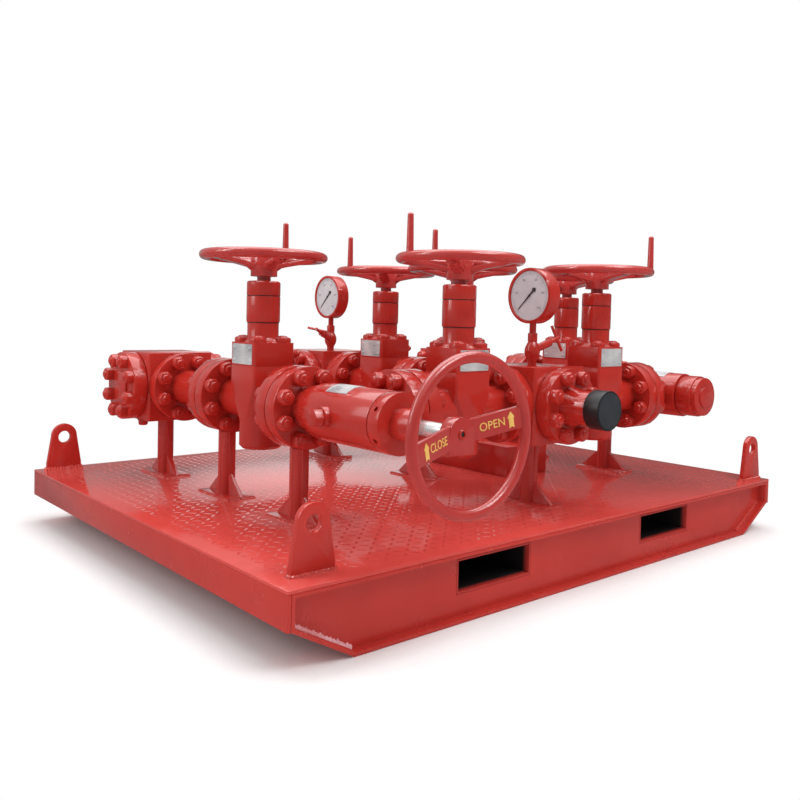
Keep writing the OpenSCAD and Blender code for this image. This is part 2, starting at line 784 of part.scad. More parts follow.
deck_plate();
runners();
end_beams();
fork_sleeves();
lifting_lugs();
pedestals();
deck_box();
front_block();
rear_left_block();
rear_center_block();
rear_right_block();
blind_flanges();
spools();
rear_adapter();
inlet_hub();
inlet_cap();
left_valve_body();
left_valve_bonnet();
left_valve_wheel();
right_valve_body();
right_valve_bonnet();
right_valve_wheel();
front_left_valve_body();
front_left_valve_bonnet();
front_left_valve_wheel();
front_right_valve_body();
front_right_valve_bonnet();
front_right_valve_wheel();
bypass_front_valve_body();
bypass_front_valve_bonnet();
bypass_front_valve_wheel();
bypass_rear_valve_body();
bypass_rear_valve_bonnet();
bypass_rear_valve_wheel();
choke_a_body();
choke_a_bonnet();
choke_a_stem();
choke_a_wheel();
choke_b_body();
choke_b_cap();
front_gauge();
front_gauge_valve();
front_gauge_handle();
rear_gauge();
rear_gauge_valve();
rear_gauge_handle();
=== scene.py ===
"""Looks of a skid-mounted choke manifold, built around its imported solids.

Sizes are metres in the row frame: X along the front edge, Y towards the rear, Z up from the floor.
The solids give every place; this file adds finishes, fasteners, plates, dials, lettering and welds.
"""
import json
import logging
import math
import random
from dataclasses import dataclass, field
from enum import Enum
from typing import Iterable, Optional, Sequence, Union

import bmesh
import bpy
from mathutils import Matrix, Vector


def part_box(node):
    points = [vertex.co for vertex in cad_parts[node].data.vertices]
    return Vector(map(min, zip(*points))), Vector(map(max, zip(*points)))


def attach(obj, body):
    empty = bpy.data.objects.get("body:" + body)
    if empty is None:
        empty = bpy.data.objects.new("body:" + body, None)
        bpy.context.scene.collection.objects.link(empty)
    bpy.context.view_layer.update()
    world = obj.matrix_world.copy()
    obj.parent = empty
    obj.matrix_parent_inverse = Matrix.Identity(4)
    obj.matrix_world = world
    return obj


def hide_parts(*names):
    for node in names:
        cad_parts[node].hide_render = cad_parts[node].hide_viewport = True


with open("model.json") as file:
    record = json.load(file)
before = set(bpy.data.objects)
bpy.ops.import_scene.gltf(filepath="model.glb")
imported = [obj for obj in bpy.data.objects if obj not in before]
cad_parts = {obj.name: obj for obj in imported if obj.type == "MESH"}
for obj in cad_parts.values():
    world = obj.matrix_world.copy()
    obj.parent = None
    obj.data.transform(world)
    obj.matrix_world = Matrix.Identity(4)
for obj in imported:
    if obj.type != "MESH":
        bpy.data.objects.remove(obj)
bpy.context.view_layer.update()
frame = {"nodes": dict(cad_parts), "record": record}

LOG = logging.getLogger("choke_manifold")
SKID = "skid"
RGB = tuple[float, float, float]
Pair = tuple[float, float]
Outline = Sequence[Pair]
Mesh = bmesh.types.BMesh
Socket = bpy.types.NodeSocket
Sockets = bpy.types.bpy_prop_collection
Value = Union[float, Sequence[float], Vector, Socket]
FULL_TURN = 2 * math.pi
SMOOTH_LIMIT = math.radians(33)
SAME_POINT = 1e-6


class Look(Enum):
    """Directions that a face or a fitting can look towards."""

    LEFT = (-1, 0, 0)
    RIGHT = (1, 0, 0)
    FRONT = (0, -1, 0)
    BACK = (0, 1, 0)
    UP = (0, 0, 1)
    DOWN = (0, 0, -1)

    @property
    def vector(self) -> Vector:
        """The direction as a unit vector."""
        return Vector(self.value)

    def stand(self, place: Vector) -> Matrix:
        """Matrix that stands a piece drawn along +Z on a place, looking this way.

        Args:
            place: Where the piece's own origin goes.

        Returns:
            The placing matrix.
        """
        turn = Vector((0, 0, 1)).rotation_difference(self.vector)
        return Matrix.Translation(place) @ turn.to_matrix().to_4x4()

    def lay(self, place: Vector) -> Matrix:
        """Matrix that lays a sheet drawn in XY flat on an upright face, with its Y upwards.

        Args:
            place: Where the middle of the sheet goes.

        Returns:
            The placing matrix.
        """
        out, up = self.vector, Vector((0, 0, 1))
        turn = Matrix((up.cross(out), up, out)).transposed()
        return Matrix.Translation(place) @ turn.to_4x4()


class Graph:
    """Short way to add and wire shader nodes in one tree."""

    def __init__(self, tree: bpy.types.NodeTree) -> None:
        """Keeps the tree that nodes are added to."""
        self.tree = tree

    def feed(self, value: Value, socket: Socket) -> None:
        """Links a socket, or sets a plain value, into an input."""
        if isinstance(value, bpy.types.NodeSocket):
            self.tree.links.new(value, socket)
        else:
            socket.default_value = value

    def add(self, kind: str, inputs: Optional[dict] = None, **settings) -> bpy.types.Node:
        """Adds a node.

        Args:
            kind: Node type without its ShaderNode prefix.
            inputs: Socket name or index, with a value or with a socket to link from.
            **settings: Attributes of the node.

        Returns:
            The new node.
        """
        node = self.tree.nodes.new("ShaderNode" + kind)
        for name, value in settings.items():
            setattr(node, name, value)
        for name, value in (inputs or {}).items():
            self.feed(value, node.inputs[name])
        return node

    def place(self) -> Socket:
        """Adds the object's own coordinates and returns their socket."""
        return self.add("TexCoord").outputs["Object"]

    def noise(self, place: Socket, scale: Value, detail: float = 2.0) -> Socket:
        """Adds a noise texture and returns its value, from 0 to 1."""
        made = self.add("TexNoise", {"Vector": place, "Scale": scale, "Detail": detail, "Roughness": 0.55})
        return made.outputs["Fac"]

    def math(self, kind: str, a: Value, b: Value = 0.0) -> Socket:
        """Adds a Math node on two numbers or sockets and returns its value."""
        return self.add("Math", {0: a, 1: b}, operation=kind).outputs[0]

    def vector(self, kind: str, a: Value, b: Value = (0, 0, 0)) -> Socket:
        """Adds a Vector Math node and returns its value or its vector."""
        output = "Value" if kind in ("LENGTH", "DOT_PRODUCT") else "Vector"
        return self.add("VectorMath", {0: a, 1: b}, operation=kind).outputs[output]

    def weigh(self, a: Socket, share: float, b: Socket) -> Socket:
        """Adds one share of a value and the rest of another."""
        return self.math("ADD", self.math("MULTIPLY", a, share), self.math("MULTIPLY", b, 1.0 - share))

    def spread(self, value: Socket, low: Value, high: Value, start: float = 0.3, stop: float = 0.7,
               smooth: bool = False) -> Socket:
        """Maps a value from start..stop to low..high.

        Args:
            value: The value that is mapped.
            low: Result at the start.
            high: Result at the stop.
            start: Value where the rise starts.
            stop: Value where it ends.
            smooth: Whether both ends of the rise are eased.

        Returns:
            The mapped value.
        """
        ends = {"Value": value, "From Min": start, "From Max": stop, "To Min": low, "To Max": high}
        kind = "SMOOTHSTEP" if smooth else "LINEAR"
        return self.add("MapRange", ends, interpolation_type=kind).outputs["Result"]

    def between(self, share: Socket, a: Value, b: Value) -> Socket:
        """Mixes two values and returns the result."""
        return self.add("Mix", {0: share, 2: a, 3: b}).outputs[0]

    def blend(self, share: Socket, a: Value, b: Value) -> Socket:
        """Mixes two colours, each a socket or a plain RGB, and returns the result."""
        node = self.add("Mix", {0: share}, data_type="RGBA")
        for name, colour in (("A", a), ("B", b)):
            self.feed(colour if isinstance(colour, bpy.types.NodeSocket) else (*colour, 1), node.inputs[name])
        return node.outputs["Result"]


class Effects:
    """Effects that several finishes share, each built once as a node group."""

    tint_scales: Pair = (2.6, 14.0)
    tint_share: float = 0.6
    dull_scale: float = 9.0
    sag_scale: float = 34.0
    peel_share: float = 0.35
    line_share: float = 0.4

    def __init__(self) -> None:
        """Builds the groups."""
        self.paint_film = self._paint_film()
        self.brushed = self._brushed()

    @staticmethod
    def _group(name: str, inputs: Sequence[tuple], outputs: Sequence[tuple]) -> tuple:
        """Starts a node group.

        Args:
            name: Name of the group.
            inputs: Name and kind of each input.
            outputs: Name and kind of each output.

        Returns:
            The tree, its graph, its input sockets and its output sockets.
        """
        tree = bpy.data.node_groups.new(name, "ShaderNodeTree")
        for way, sockets in (("INPUT", inputs), ("OUTPUT", outputs)):
            for label, kind in sockets:
                tree.interface.new_socket(label, in_out=way, socket_type="NodeSocket" + kind)
        source = tree.nodes.new("NodeGroupInput").outputs
        sink = tree.nodes.new("NodeGroupOutput").inputs
        return tree, Graph(tree), source, sink

    def _paint_film(self) -> bpy.types.NodeTree:
        """Thick sprayed enamel: wandering tint, dull patches, orange peel and sags.

        Returns:
            Group with Colour, Roughness and Height.
        """
        tree, graph, source, sink = self._group(
            "paint_film",
            [("Thick Colour", "Color"), ("Thin Colour", "Color"), ("Gloss Low", "Float"),
             ("Gloss High", "Float"), ("Peel Scale", "Float")],
            [("Colour", "Color"), ("Roughness", "Float"), ("Height", "Float")])
        place = graph.place()
        broad, cloud = self.tint_scales
        tint = graph.weigh(graph.noise(place, broad, 3.0), self.tint_share, graph.noise(place, cloud, 4.0))
        share = graph.spread(tint, 0.0, 1.0, 0.35, 0.65)
        graph.feed(graph.blend(share, source["Thick Colour"], source["Thin Colour"]), sink["Colour"])
        dull = graph.noise(place, self.dull_scale, 5.0)
        graph.feed(graph.spread(dull, source["Gloss Low"], source["Gloss High"]), sink["Roughness"])
        peel = graph.add("TexNoise", {"Vector": place, "Scale": source["Peel Scale"], "Detail": 1.5})
        sag = graph.noise(place, self.sag_scale)
        graph.feed(graph.weigh(peel.outputs["Fac"], self.peel_share, sag), sink["Height"])
        return tree

    def _brushed(self) -> bpy.types.NodeTree:
        """Fine lines of a brushed or turned metal, over broad light and dark smears that also serve as
        painted reflection.

        Returns:
            Group with Tone, from 0 to 1, and Height.
        """
        tree, graph, source, sink = self._group(
            "brushed_lines", [("Line Scale", "Vector"), ("Smear And Sheen Scale", "Float")],
            [("Tone", "Float"), ("Height", "Float")])
        place = graph.place()
        lines = graph.noise(graph.vector("MULTIPLY", place, source["Line Scale"]), 1.0, 4.0)
        smear_and_sheen = graph.noise(place, source["Smear And Sheen Scale"], 1.0)
        tone = graph.weigh(lines, self.line_share, smear_and_sheen)
        graph.feed(graph.spread(tone, 0.0, 1.0), sink["Tone"])
        graph.feed(lines, sink["Height"])
        return tree


@dataclass(frozen=True)
class Finish:
    """What every finish has: a name, and a way to start its material."""

    name: str

    def start(self) -> tuple:
        """Makes an empty material with its shader.

        Returns:
            The material, its graph and its shader's inputs.
        """
        material = bpy.data.materials.new(self.name)
        material.use_nodes = True
        shader = material.node_tree.nodes["Principled BSDF"]
        return material, Graph(material.node_tree), shader.inputs

    @staticmethod
    def group(graph: Graph, tree: bpy.types.NodeTree, inputs: dict) -> Sockets:
        """Places a shared effect in a material with its own values and returns its outputs."""
        node = graph.add("Group", node_tree=tree)
        for name, value in inputs.items():
            node.inputs[name].default_value = value
        return node.outputs

    @staticmethod
    def bump(graph: Graph, shader: Sockets, height: Socket, strength: float, depth: float) -> None:
        """Feeds a height through a Bump node to the shader's normal."""
        made = graph.add("Bump", {"Height": height, "Strength": strength, "Distance": depth})
        graph.feed(made.outputs["Normal"], shader["Normal"])


@dataclass(frozen=True)
class PaintFinish(Finish):
    """Glossy enamel on steel."""

    thick: RGB
    thin: RGB
    gloss: Pair = (0.16, 0.30)
    peel_scale: float = 240.0
    peel: float = 0.10
    film_t: float = 0.002
    coat: float = 0.35
    coat_gloss: float = 0.06
    specular: float = 0.5
    # Painted shade deep inside a long opening: its two Y ends, the near-black colour painted there, and how
    # far in from each mouth the paint fades into it.
    painted_shade_span: Optional[Pair] = None
    pocket_shade: RGB = (0.006, 0.005, 0.005)
    mouth: Pair = (0.022, 0.006)

    def build(self, effects: Effects) -> bpy.types.Material:
        """Makes the material.

        Args:
            effects: The shared node groups.

        Returns:
            The finished material.
        """
        material, graph, shader = self.start()
        film = self.group(graph, effects.paint_film, {
            "Thick Colour": (*self.thick, 1), "Thin Colour": (*self.thin, 1), "Gloss Low": self.gloss[0],
            "Gloss High": self.gloss[1], "Peel Scale": self.peel_scale})
        colour = film["Colour"]
        # Painted shade deep inside a long opening, where one is given.
        if self.painted_shade_span:
            colour = self._painted_pocket_shade(graph, colour)
        graph.feed(colour, shader["Base Color"])
        graph.feed(film["Roughness"], shader["Roughness"])
        self.bump(graph, shader, film["Height"], self.peel, self.film_t)
        shader["Specular IOR Level"].default_value = self.specular
        shader["Coat Weight"].default_value = self.coat
        shader["Coat Roughness"].default_value = self.coat_gloss
        return material

    def _painted_pocket_shade(self, graph: Graph, colour: Socket) -> Socket:
        """Paints shade deep inside a long opening as a near-black colour, and leaves the paint at its mouths.

        Args:
            graph: The material's graph.
            colour: The paint's colour.

        Returns:
            The mixed colour.
        """
        front, back = self.painted_shade_span
        half = (back - front) / 2
        along = graph.add("SeparateXYZ", {0: graph.place()}).outputs["Y"]
        off = graph.math("ABSOLUTE", graph.math("SUBTRACT", along, (front + back) / 2))
        inner, outer = (half - depth for depth in self.mouth)
        return graph.blend(graph.spread(off, 0.0, 1.0, inner, outer), self.pocket_shade, colour)


@dataclass(frozen=True)
class MetalFinish(Finish):
    """Bare bright metal with fine lines."""

    dark: RGB
    light: RGB
    lines: RGB
    gloss: Pair = (0.22, 0.42)
    # Size of the broad light and dark smears, which also serve as painted reflection.
    smear_and_sheen: float = 26.0
    metallic: float = 1.0
    relief: float = 0.12
    line_t: float = 0.0005

    def build(self, effects: Effects) -> bpy.types.Material:
        """Makes the material.

        Args:
            effects: The shared node groups.

        Returns:
            The finished material.
        """
        material, graph, shader = self.start()
        brushed = self.group(graph, effects.brushed, {"Line Scale": self.lines, "Smear And Sheen Scale": self.smear_and_sheen})
        tone = brushed["Tone"]
        graph.feed(graph.blend(tone, self.dark, self.light), shader["Base Color"])
        graph.feed(graph.spread(tone, *self.gloss, 0.0, 1.0), shader["Roughness"])
        self.bump(graph, shader, brushed["Height"], self.relief, self.line_t)
        shader["Metallic"].default_value = self.metallic
        return material


@dataclass(frozen=True)
class MatteFinish(Finish):
    """Moulded rubber, printed ink or a dial's enamel: a tint that wanders a little over a fine grain."""

    dark: RGB
    light: RGB
    gloss: Pair
    grain: float = 900.0
    relief: float = 0.1
    cloud_scale: float = 40.0
    grain_t: float = 0.0006

    def build(self, _effects: Effects) -> bpy.types.Material:
        """Makes the material.

        Args:
            _effects: The shared node groups, not used here.

        Returns:
            The finished material.
        """
        material, graph, shader = self.start()
        place = graph.place()
        cloud = graph.noise(place, self.cloud_scale, 4.0)
        graph.feed(graph.blend(graph.spread(cloud, 0.0, 1.0), self.dark, self.light), shader["Base Color"])
        graph.feed(graph.spread(cloud, *self.gloss), shader["Roughness"])
        self.bump(graph, shader, graph.noise(place, self.grain), self.relief, self.grain_t)
        return material


class Finishes:
    """The finishes of the manifold, each built once."""

    def __init__(self) -> None:
        """Builds every material."""
        effects = Effects()
        red, deep = (0.495, 0.0270, 0.0180), (0.430, 0.0210, 0.0140)
        sleeve_ends = tuple(corner.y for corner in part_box("fork_sleeves"))
        self.red = PaintFinish("red_enamel", red, deep, gloss=(0.14, 0.22), peel=0.08).build(effects)
        # Painted light: the skid's steelwork takes a lighter copy of the red, for the brighter light that
        # falls on it.
        self.steelwork = PaintFinish(
            "red_steelwork_painted_light", (0.560, 0.0370, 0.0270), (0.490, 0.0290, 0.0210)).build(effects)
        # Partly painted highlight: the handwheels take a paler, pinker red, which stands in for the pink
        # highlights on their glossy rims.
        self.wheel = PaintFinish(
            "red_wheel_enamel_painted_sheen", (0.500, 0.0460, 0.0400), (0.420, 0.0300, 0.0260),
            gloss=(0.09, 0.18), peel_scale=120.0, peel=0.20, coat=0.6).build(effects)
        # Painted shade for the groove of each valve cap and the joint under it.
        self.seam = PaintFinish(
            "painted_seam_shade", (0.085, 0.0080, 0.0060), (0.055, 0.0060, 0.0050),
            gloss=(0.4, 0.6), coat=0.0).build(effects)
        # Painted shade inside the fork pockets, with the paint left at their mouths.
        self.pocket = PaintFinish(
            "red_pocket_enamel", red, deep, gloss=(0.5, 0.7), coat=0.0,
            painted_shade_span=sleeve_ends).build(effects)
        # Painted light and painted reflection: the deck takes a lighter, paler copy of the red, for the light
        # from above and the pale haze that it reflects.
        self.deck = PaintFinish(
            "red_deck_painted_light_and_haze", (0.670, 0.0760, 0.0640), (0.600, 0.0620, 0.0520),
            gloss=(0.05, 0.12), peel_scale=110.0, peel=0.34, coat=0.0, specular=0.60).build(effects)
        # Painted highlight: the beads take a lighter red, and the left nose beads an almost white pink, for
        # the light that their lumps reflect.
        self.weld = PaintFinish(
            "red_weld_painted_highlight", (0.66, 0.085, 0.070), (0.58, 0.055, 0.045),
            gloss=(0.10, 0.2), peel_scale=420.0, peel=0.35).build(effects)
        self.weld_highlight = PaintFinish(
            "pale_weld_painted_highlight", (0.90, 0.56, 0.60), (0.70, 0.20, 0.20),
            gloss=(0.10, 0.2), peel_scale=420.0, peel=0.4).build(effects)
        # Painted reflection: the plate's tone swings from dark grey to near white in broad patches, for the
        # bright reflections on it.
        self.plate = MetalFinish(
            "blank_plate_painted_reflection", (0.36, 0.37, 0.40), (0.93, 0.93, 0.92), (30, 30, 900),
            smear_and_sheen=16.0, metallic=0.45).build(effects)
        self.stem = MetalFinish(
            "turned_steel", (0.66, 0.66, 0.65), (0.86, 0.86, 0.85), (60, 1400, 60),
            gloss=(0.18, 0.32), metallic=0.7).build(effects)
        self.rubber = MatteFinish(
            "black_cap_rubber", (0.006, 0.0065, 0.0075), (0.012, 0.013, 0.015), (0.34, 0.5)).build(effects)
        # Painted reflection: a lighter, bluish black for the cap's front face, for the lighter room that it
        # reflects.
        self.cap_face = MatteFinish(
            "black_cap_painted_reflection", (0.022, 0.026, 0.033), (0.032, 0.037, 0.045), (0.42, 0.58)).build(effects)
        self.dial = MatteFinish(
            "dial_enamel", (0.58, 0.58, 0.61), (0.66, 0.66, 0.68), (0.28, 0.36), relief=0.02).build(effects)
        self.ink = MatteFinish(
            "dial_ink", (0.02, 0.02, 0.022), (0.035, 0.034, 0.034), (0.4, 0.5), relief=0.02).build(effects)
        self.faint = MatteFinish(
            "faded_dial_ink", (0.26, 0.26, 0.27), (0.36, 0.36, 0.36), (0.4, 0.5), relief=0.02).build(effects)
        self.yellow = MatteFinish(
            "yellow_stencil", (0.76, 0.42, 0.085), (0.88, 0.54, 0.13), (0.35, 0.5),
            grain=500.0).build(effects)


class Shapes:
    """Shapes that several pieces start from, drawn round +Z with their foot at zero."""

    @staticmethod
    def turned(outline: Outline, steps: int = 32) -> Mesh:
        """Spins an outline of radius and height pairs into a closed round.

        Args:
            outline: Radius and height of each corner, from the foot up.
            steps: Facets round the axis.

        Returns:
            The new mesh.
        """
        bm = bmesh.new()
        verts = [bm.verts.new((radius, 0, height)) for radius, height in outline]
        edges = [bm.edges.new(pair) for pair in zip(verts, verts[1:])]
        bmesh.ops.spin(bm, geom=verts + edges, cent=(0, 0, 0), axis=(0, 0, 1), angle=FULL_TURN, steps=steps,
                       use_merge=True)
        bmesh.ops.remove_doubles(bm, verts=bm.verts, dist=SAME_POINT)
        bmesh.ops.recalc_face_normals(bm, faces=bm.faces)
        return bm

    @staticmethod
    def eased(bm: Mesh, edges: list, width: float) -> None:
        """Rounds some edges of a mesh in two steps."""
        bmesh.ops.bevel(bm, geom=edges, offset=width, segments=2, profile=0.5, affect="EDGES", material=-1,
                        clamp_overlap=True)

    @staticmethod
    def prism(sides: int, across: float, height: float, ease: float, foot: float = 0.0) -> Mesh:
        """A bar with flat sides and eased edges.

        Args:
            sides: Number of flats.
            across: Size over the flats.
            height: Length of the bar.
            ease: Rounding of every edge but those of the foot.
            foot: Height that the bar starts at.

        Returns:
            The new mesh.
        """
        bm = bmesh.new()
        radius = across / 2 / math.cos(math.pi / sides)
        bmesh.ops.create_cone(bm, cap_ends=True, segments=sides, radius1=radius, radius2=radius, depth=height,
                              matrix=Matrix.Translation((0, 0, height / 2)))
        Shapes.eased(bm, [e for e in bm.edges if any(v.co.z > height / 2 for v in e.verts)], ease)
        bmesh.ops.translate(bm, verts=bm.verts, vec=(0, 0, foot))
        return bm

    @staticmethod
    def nut(across: float, high: float, ease: float, stud: float, out: float) -> list[Mesh]:
        """A nut under thick paint, with the rounded end of its stud.

        Args:
            across: Size over the flats.
            high: Height of the nut.
            ease: Rounding that the paint leaves.
            stud: Diameter of the stud.
            out: How far the stud stands out of the nut.

        Returns:
            The nut and the stud end.
        """
        r, root = stud / 2, high - 0.004
        dome = [(0, root), (1.25 * r, root), (1.02 * r, high + 0.1 * out), (0.86 * r, high + 0.66 * out),
                (0.5 * r, high + 0.93 * out), (0, high + out)]
        return [Shapes.prism(6, across, high, ease), Shapes.turned(dome, 10)]

    @staticmethod
    def slab(corners: Sequence[tuple[float, float, float]], run: tuple[float, float, float]) -> Mesh:
        """Extrudes a flat outline into a closed solid.

        Args:
            corners: Corners of the outline, in order.
            run: Way and length of the extrusion.

        Returns:
            The new mesh.
        """
        bm = bmesh.new()
        face = bm.faces.new([bm.verts.new(corner) for corner in corners])
        grown = bmesh.ops.extrude_face_region(bm, geom=[face])["geom"]
        bmesh.ops.translate(bm, verts=[v for v in grown if isinstance(v, bmesh.types.BMVert)], vec=run)
        bmesh.ops.recalc_face_normals(bm, faces=bm.faces)
        return bm

    @staticmethod
    def sheet(width: float, height: float, thick: float, corner: float) -> Mesh:
        """A thin plate in XY with rounded corners, standing thick above its back.

        Args:
            width: Size along X.
            height: Size along Y.
            thick: Size along Z.
            corner: Radius of the corners.

        Returns:
            The new mesh.
        """
        bm = bmesh.new()
        bmesh.ops.create_cube(bm, size=1, matrix=Matrix.Diagonal((width, height, thick, 1))
                              @ Matrix.Translation((0, 0, 0.5)))
        upright = [e for e in bm.edges if abs(e.verts[0].co.z - e.verts[1].co.z) > thick / 2]
        bmesh.ops.bevel(bm, geom=upright, offset=corner, segments=4, profile=0.5, affect="EDGES", material=-1)
        return bm

    @staticmethod
    def lettering(words: str, height: float, thick: float) -> Mesh:
        """Words in XY, centred, as a closed mesh.

        Args:
            words: The plain words.
            height: Size of the letters.
            thick: How far they stand proud.

        Returns:
            The new mesh.
        """
        curve = bpy.data.curves.new("words", "FONT")
        curve.body = words
        curve.size = height
        curve.extrude = thick / 2
        curve.align_x = "CENTER"
        curve.align_y = "CENTER"
        carrier = bpy.data.objects.new("words", curve)
        bpy.context.scene.collection.objects.link(carrier)
        mesh = bpy.data.meshes.new_from_object(carrier.evaluated_get(bpy.context.evaluated_depsgraph_get()))
        bm = bmesh.new()
        bm.from_mesh(mesh)
        bpy.data.objects.remove(carrier)
        bpy.data.curves.remove(curve)
        bpy.data.meshes.remove(mesh)
        bmesh.ops.remove_doubles(bm, verts=bm.verts, dist=SAME_POINT)
        bmesh.ops.translate(bm, verts=bm.verts, vec=(0, 0, thick / 2))
        return bm


class Stock:
    """One shape that is stamped many times into other meshes."""

    def __init__(self, *shapes: Mesh) -> None:
        """Joins some shapes into one stored mesh and frees them."""
        joined = bmesh.new()
        for shape in shapes:
            part = bpy.data.meshes.new("stock_part")
            shape.to_mesh(part)
            shape.free()
            joined.from_mesh(part)
            bpy.data.meshes.remove(part)
        self.mesh = bpy.data.meshes.new("stock")
        joined.to_mesh(self.mesh)
        joined.free()

    def stamp(self, target: Mesh, places: Iterable[Matrix]) -> Mesh:
        """Adds a copy at each place.

        Args:
            target: Mesh that takes the copies.
            places: Placing matrices.

        Returns:
            The same target.
        """
        for place in places:
            self.mesh.transform(place)
            target.from_mesh(self.mesh)
            self.mesh.transform(place.inverted())
        return target


def placed(place: Matrix, *shapes: Mesh) -> Mesh:
    """Joins some shapes into a new mesh at one place."""
    return Stock(*shapes).stamp(bmesh.new(), [place])


def add_piece(name: str, bm: Mesh, finish: bpy.types.Material, body: str = SKID) -> bpy.types.Object:
    """Turns a mesh into a piece that rides on a body.

    Args:
        name: Name of the piece.
        bm: Its mesh, in place in the row frame; it is freed.
        finish: Its material.
        body: The body that it moves with.

    Returns:
        The new object.
    """
    for face in bm.faces:
        face.smooth = True
    for edge in bm.edges:
        edge.smooth = len(edge.link_faces) == 2 and edge.calc_face_angle(0.0) < SMOOTH_LIMIT
    mesh = bpy.data.meshes.new(name)
    bm.to_mesh(mesh)
    bm.free()
    mesh.materials.clear()
    mesh.materials.append(finish)
    made = bpy.data.objects.new(name, mesh)
    bpy.context.scene.collection.objects.link(made)
    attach(made, body)
    LOG.info("%s: %d faces on %s", name, len(mesh.polygons), body)
    return made


def middle(node: str) -> Vector:
    """Middle of a solid's box."""
    low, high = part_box(node)
    return (low + high) / 2


def top_middle(node: str) -> Vector:
    """Middle of the top of a solid's box."""
    centre = middle(node)
    return Vector((centre.x, centre.y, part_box(node)[1].z))


@dataclass
class Castings:
    """Painted solids with their edges eased as thick paint and grinding leave them."""

    finishes: Finishes
    ease: float = 0.0022
    fine_ease: float = 0.0012
    sharp: float = math.radians(38)
    flat: float = math.radians(0.4)
    merge: float = 1e-5
    steelwork: tuple[str, ...] = ("runners", "end_beams", "lifting_lugs", "pedestals", "deck_box")
    fine: tuple[str, ...] = ("front_gauge", "rear_gauge", "front_gauge_handle", "rear_gauge_handle",
                             "front_gauge_valve", "rear_gauge_valve", "deck_plate", "fork_sleeves",
                             "choke_a_stem", "inlet_cap")
    taps: dict[str, str] = field(default_factory=lambda: {"front_gauge_valve": "front_block",
                                                          "rear_gauge_valve": "rear_center_block"})
    tap_reach: float = 0.0235
    tap_foot: float = 0.005
    tap_slimming: float = 0.5

    def eased(self, node: str) -> Mesh:
        """Copies a solid and rounds its outer edges.

        Args:
            node: Name of the solid.

        Returns:
            The new mesh.
        """
        bm = bmesh.new()
        bm.from_mesh(frame["nodes"][node].data)
        bmesh.ops.remove_doubles(bm, verts=bm.verts, dist=self.merge)
        bmesh.ops.dissolve_limit(bm, angle_limit=self.flat, verts=bm.verts, edges=bm.edges)
        outer = [e for e in bm.edges if e.is_manifold and e.is_convex and e.calc_face_angle(0.0) > self.sharp]
        Shapes.eased(bm, outer, self.fine_ease if node in self.fine else self.ease)
        return bm

    def slim_tap(self, bm: Mesh, block: str) -> None:
        """Draws in the bar of a gauge tap, which a turned body then covers.

        Args:
            bm: Copy of the tap's solid.
            block: Solid that the tap stands on.
        """
        axis = top_middle(block)
        for v in bm.verts:
            off = Vector((v.co.x - axis.x, v.co.y - axis.y, 0))
            if off.length < self.tap_reach and v.co.z > axis.z + self.tap_foot:
                v.co -= self.tap_slimming * off

    def build(self) -> None:
        """Replaces each solid by its eased copy and gives it its finish."""
        looks = {"inlet_cap": self.finishes.rubber, "choke_a_stem": self.finishes.stem,
                 "deck_plate": self.finishes.deck, "fork_sleeves": self.finishes.pocket,
                 **{node: self.finishes.steelwork for node in self.steelwork},
                 **{node: self.finishes.wheel for node in frame["nodes"] if node.endswith("_wheel")}}
        bodies = {n: body for body, names in frame["record"]["behaviour"]["bodies"].items() for n in names}
        for node, solid in frame["nodes"].items():
            finish = looks.get(node, self.finishes.red)
            solid.data.materials.clear()
            solid.data.materials.append(finish)
            bm = self.eased(node)
            if node in self.taps:
                self.slim_tap(bm, self.taps[node])
            piece = add_piece(node + "_eased", bm, finish, bodies[node])
            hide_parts(node)


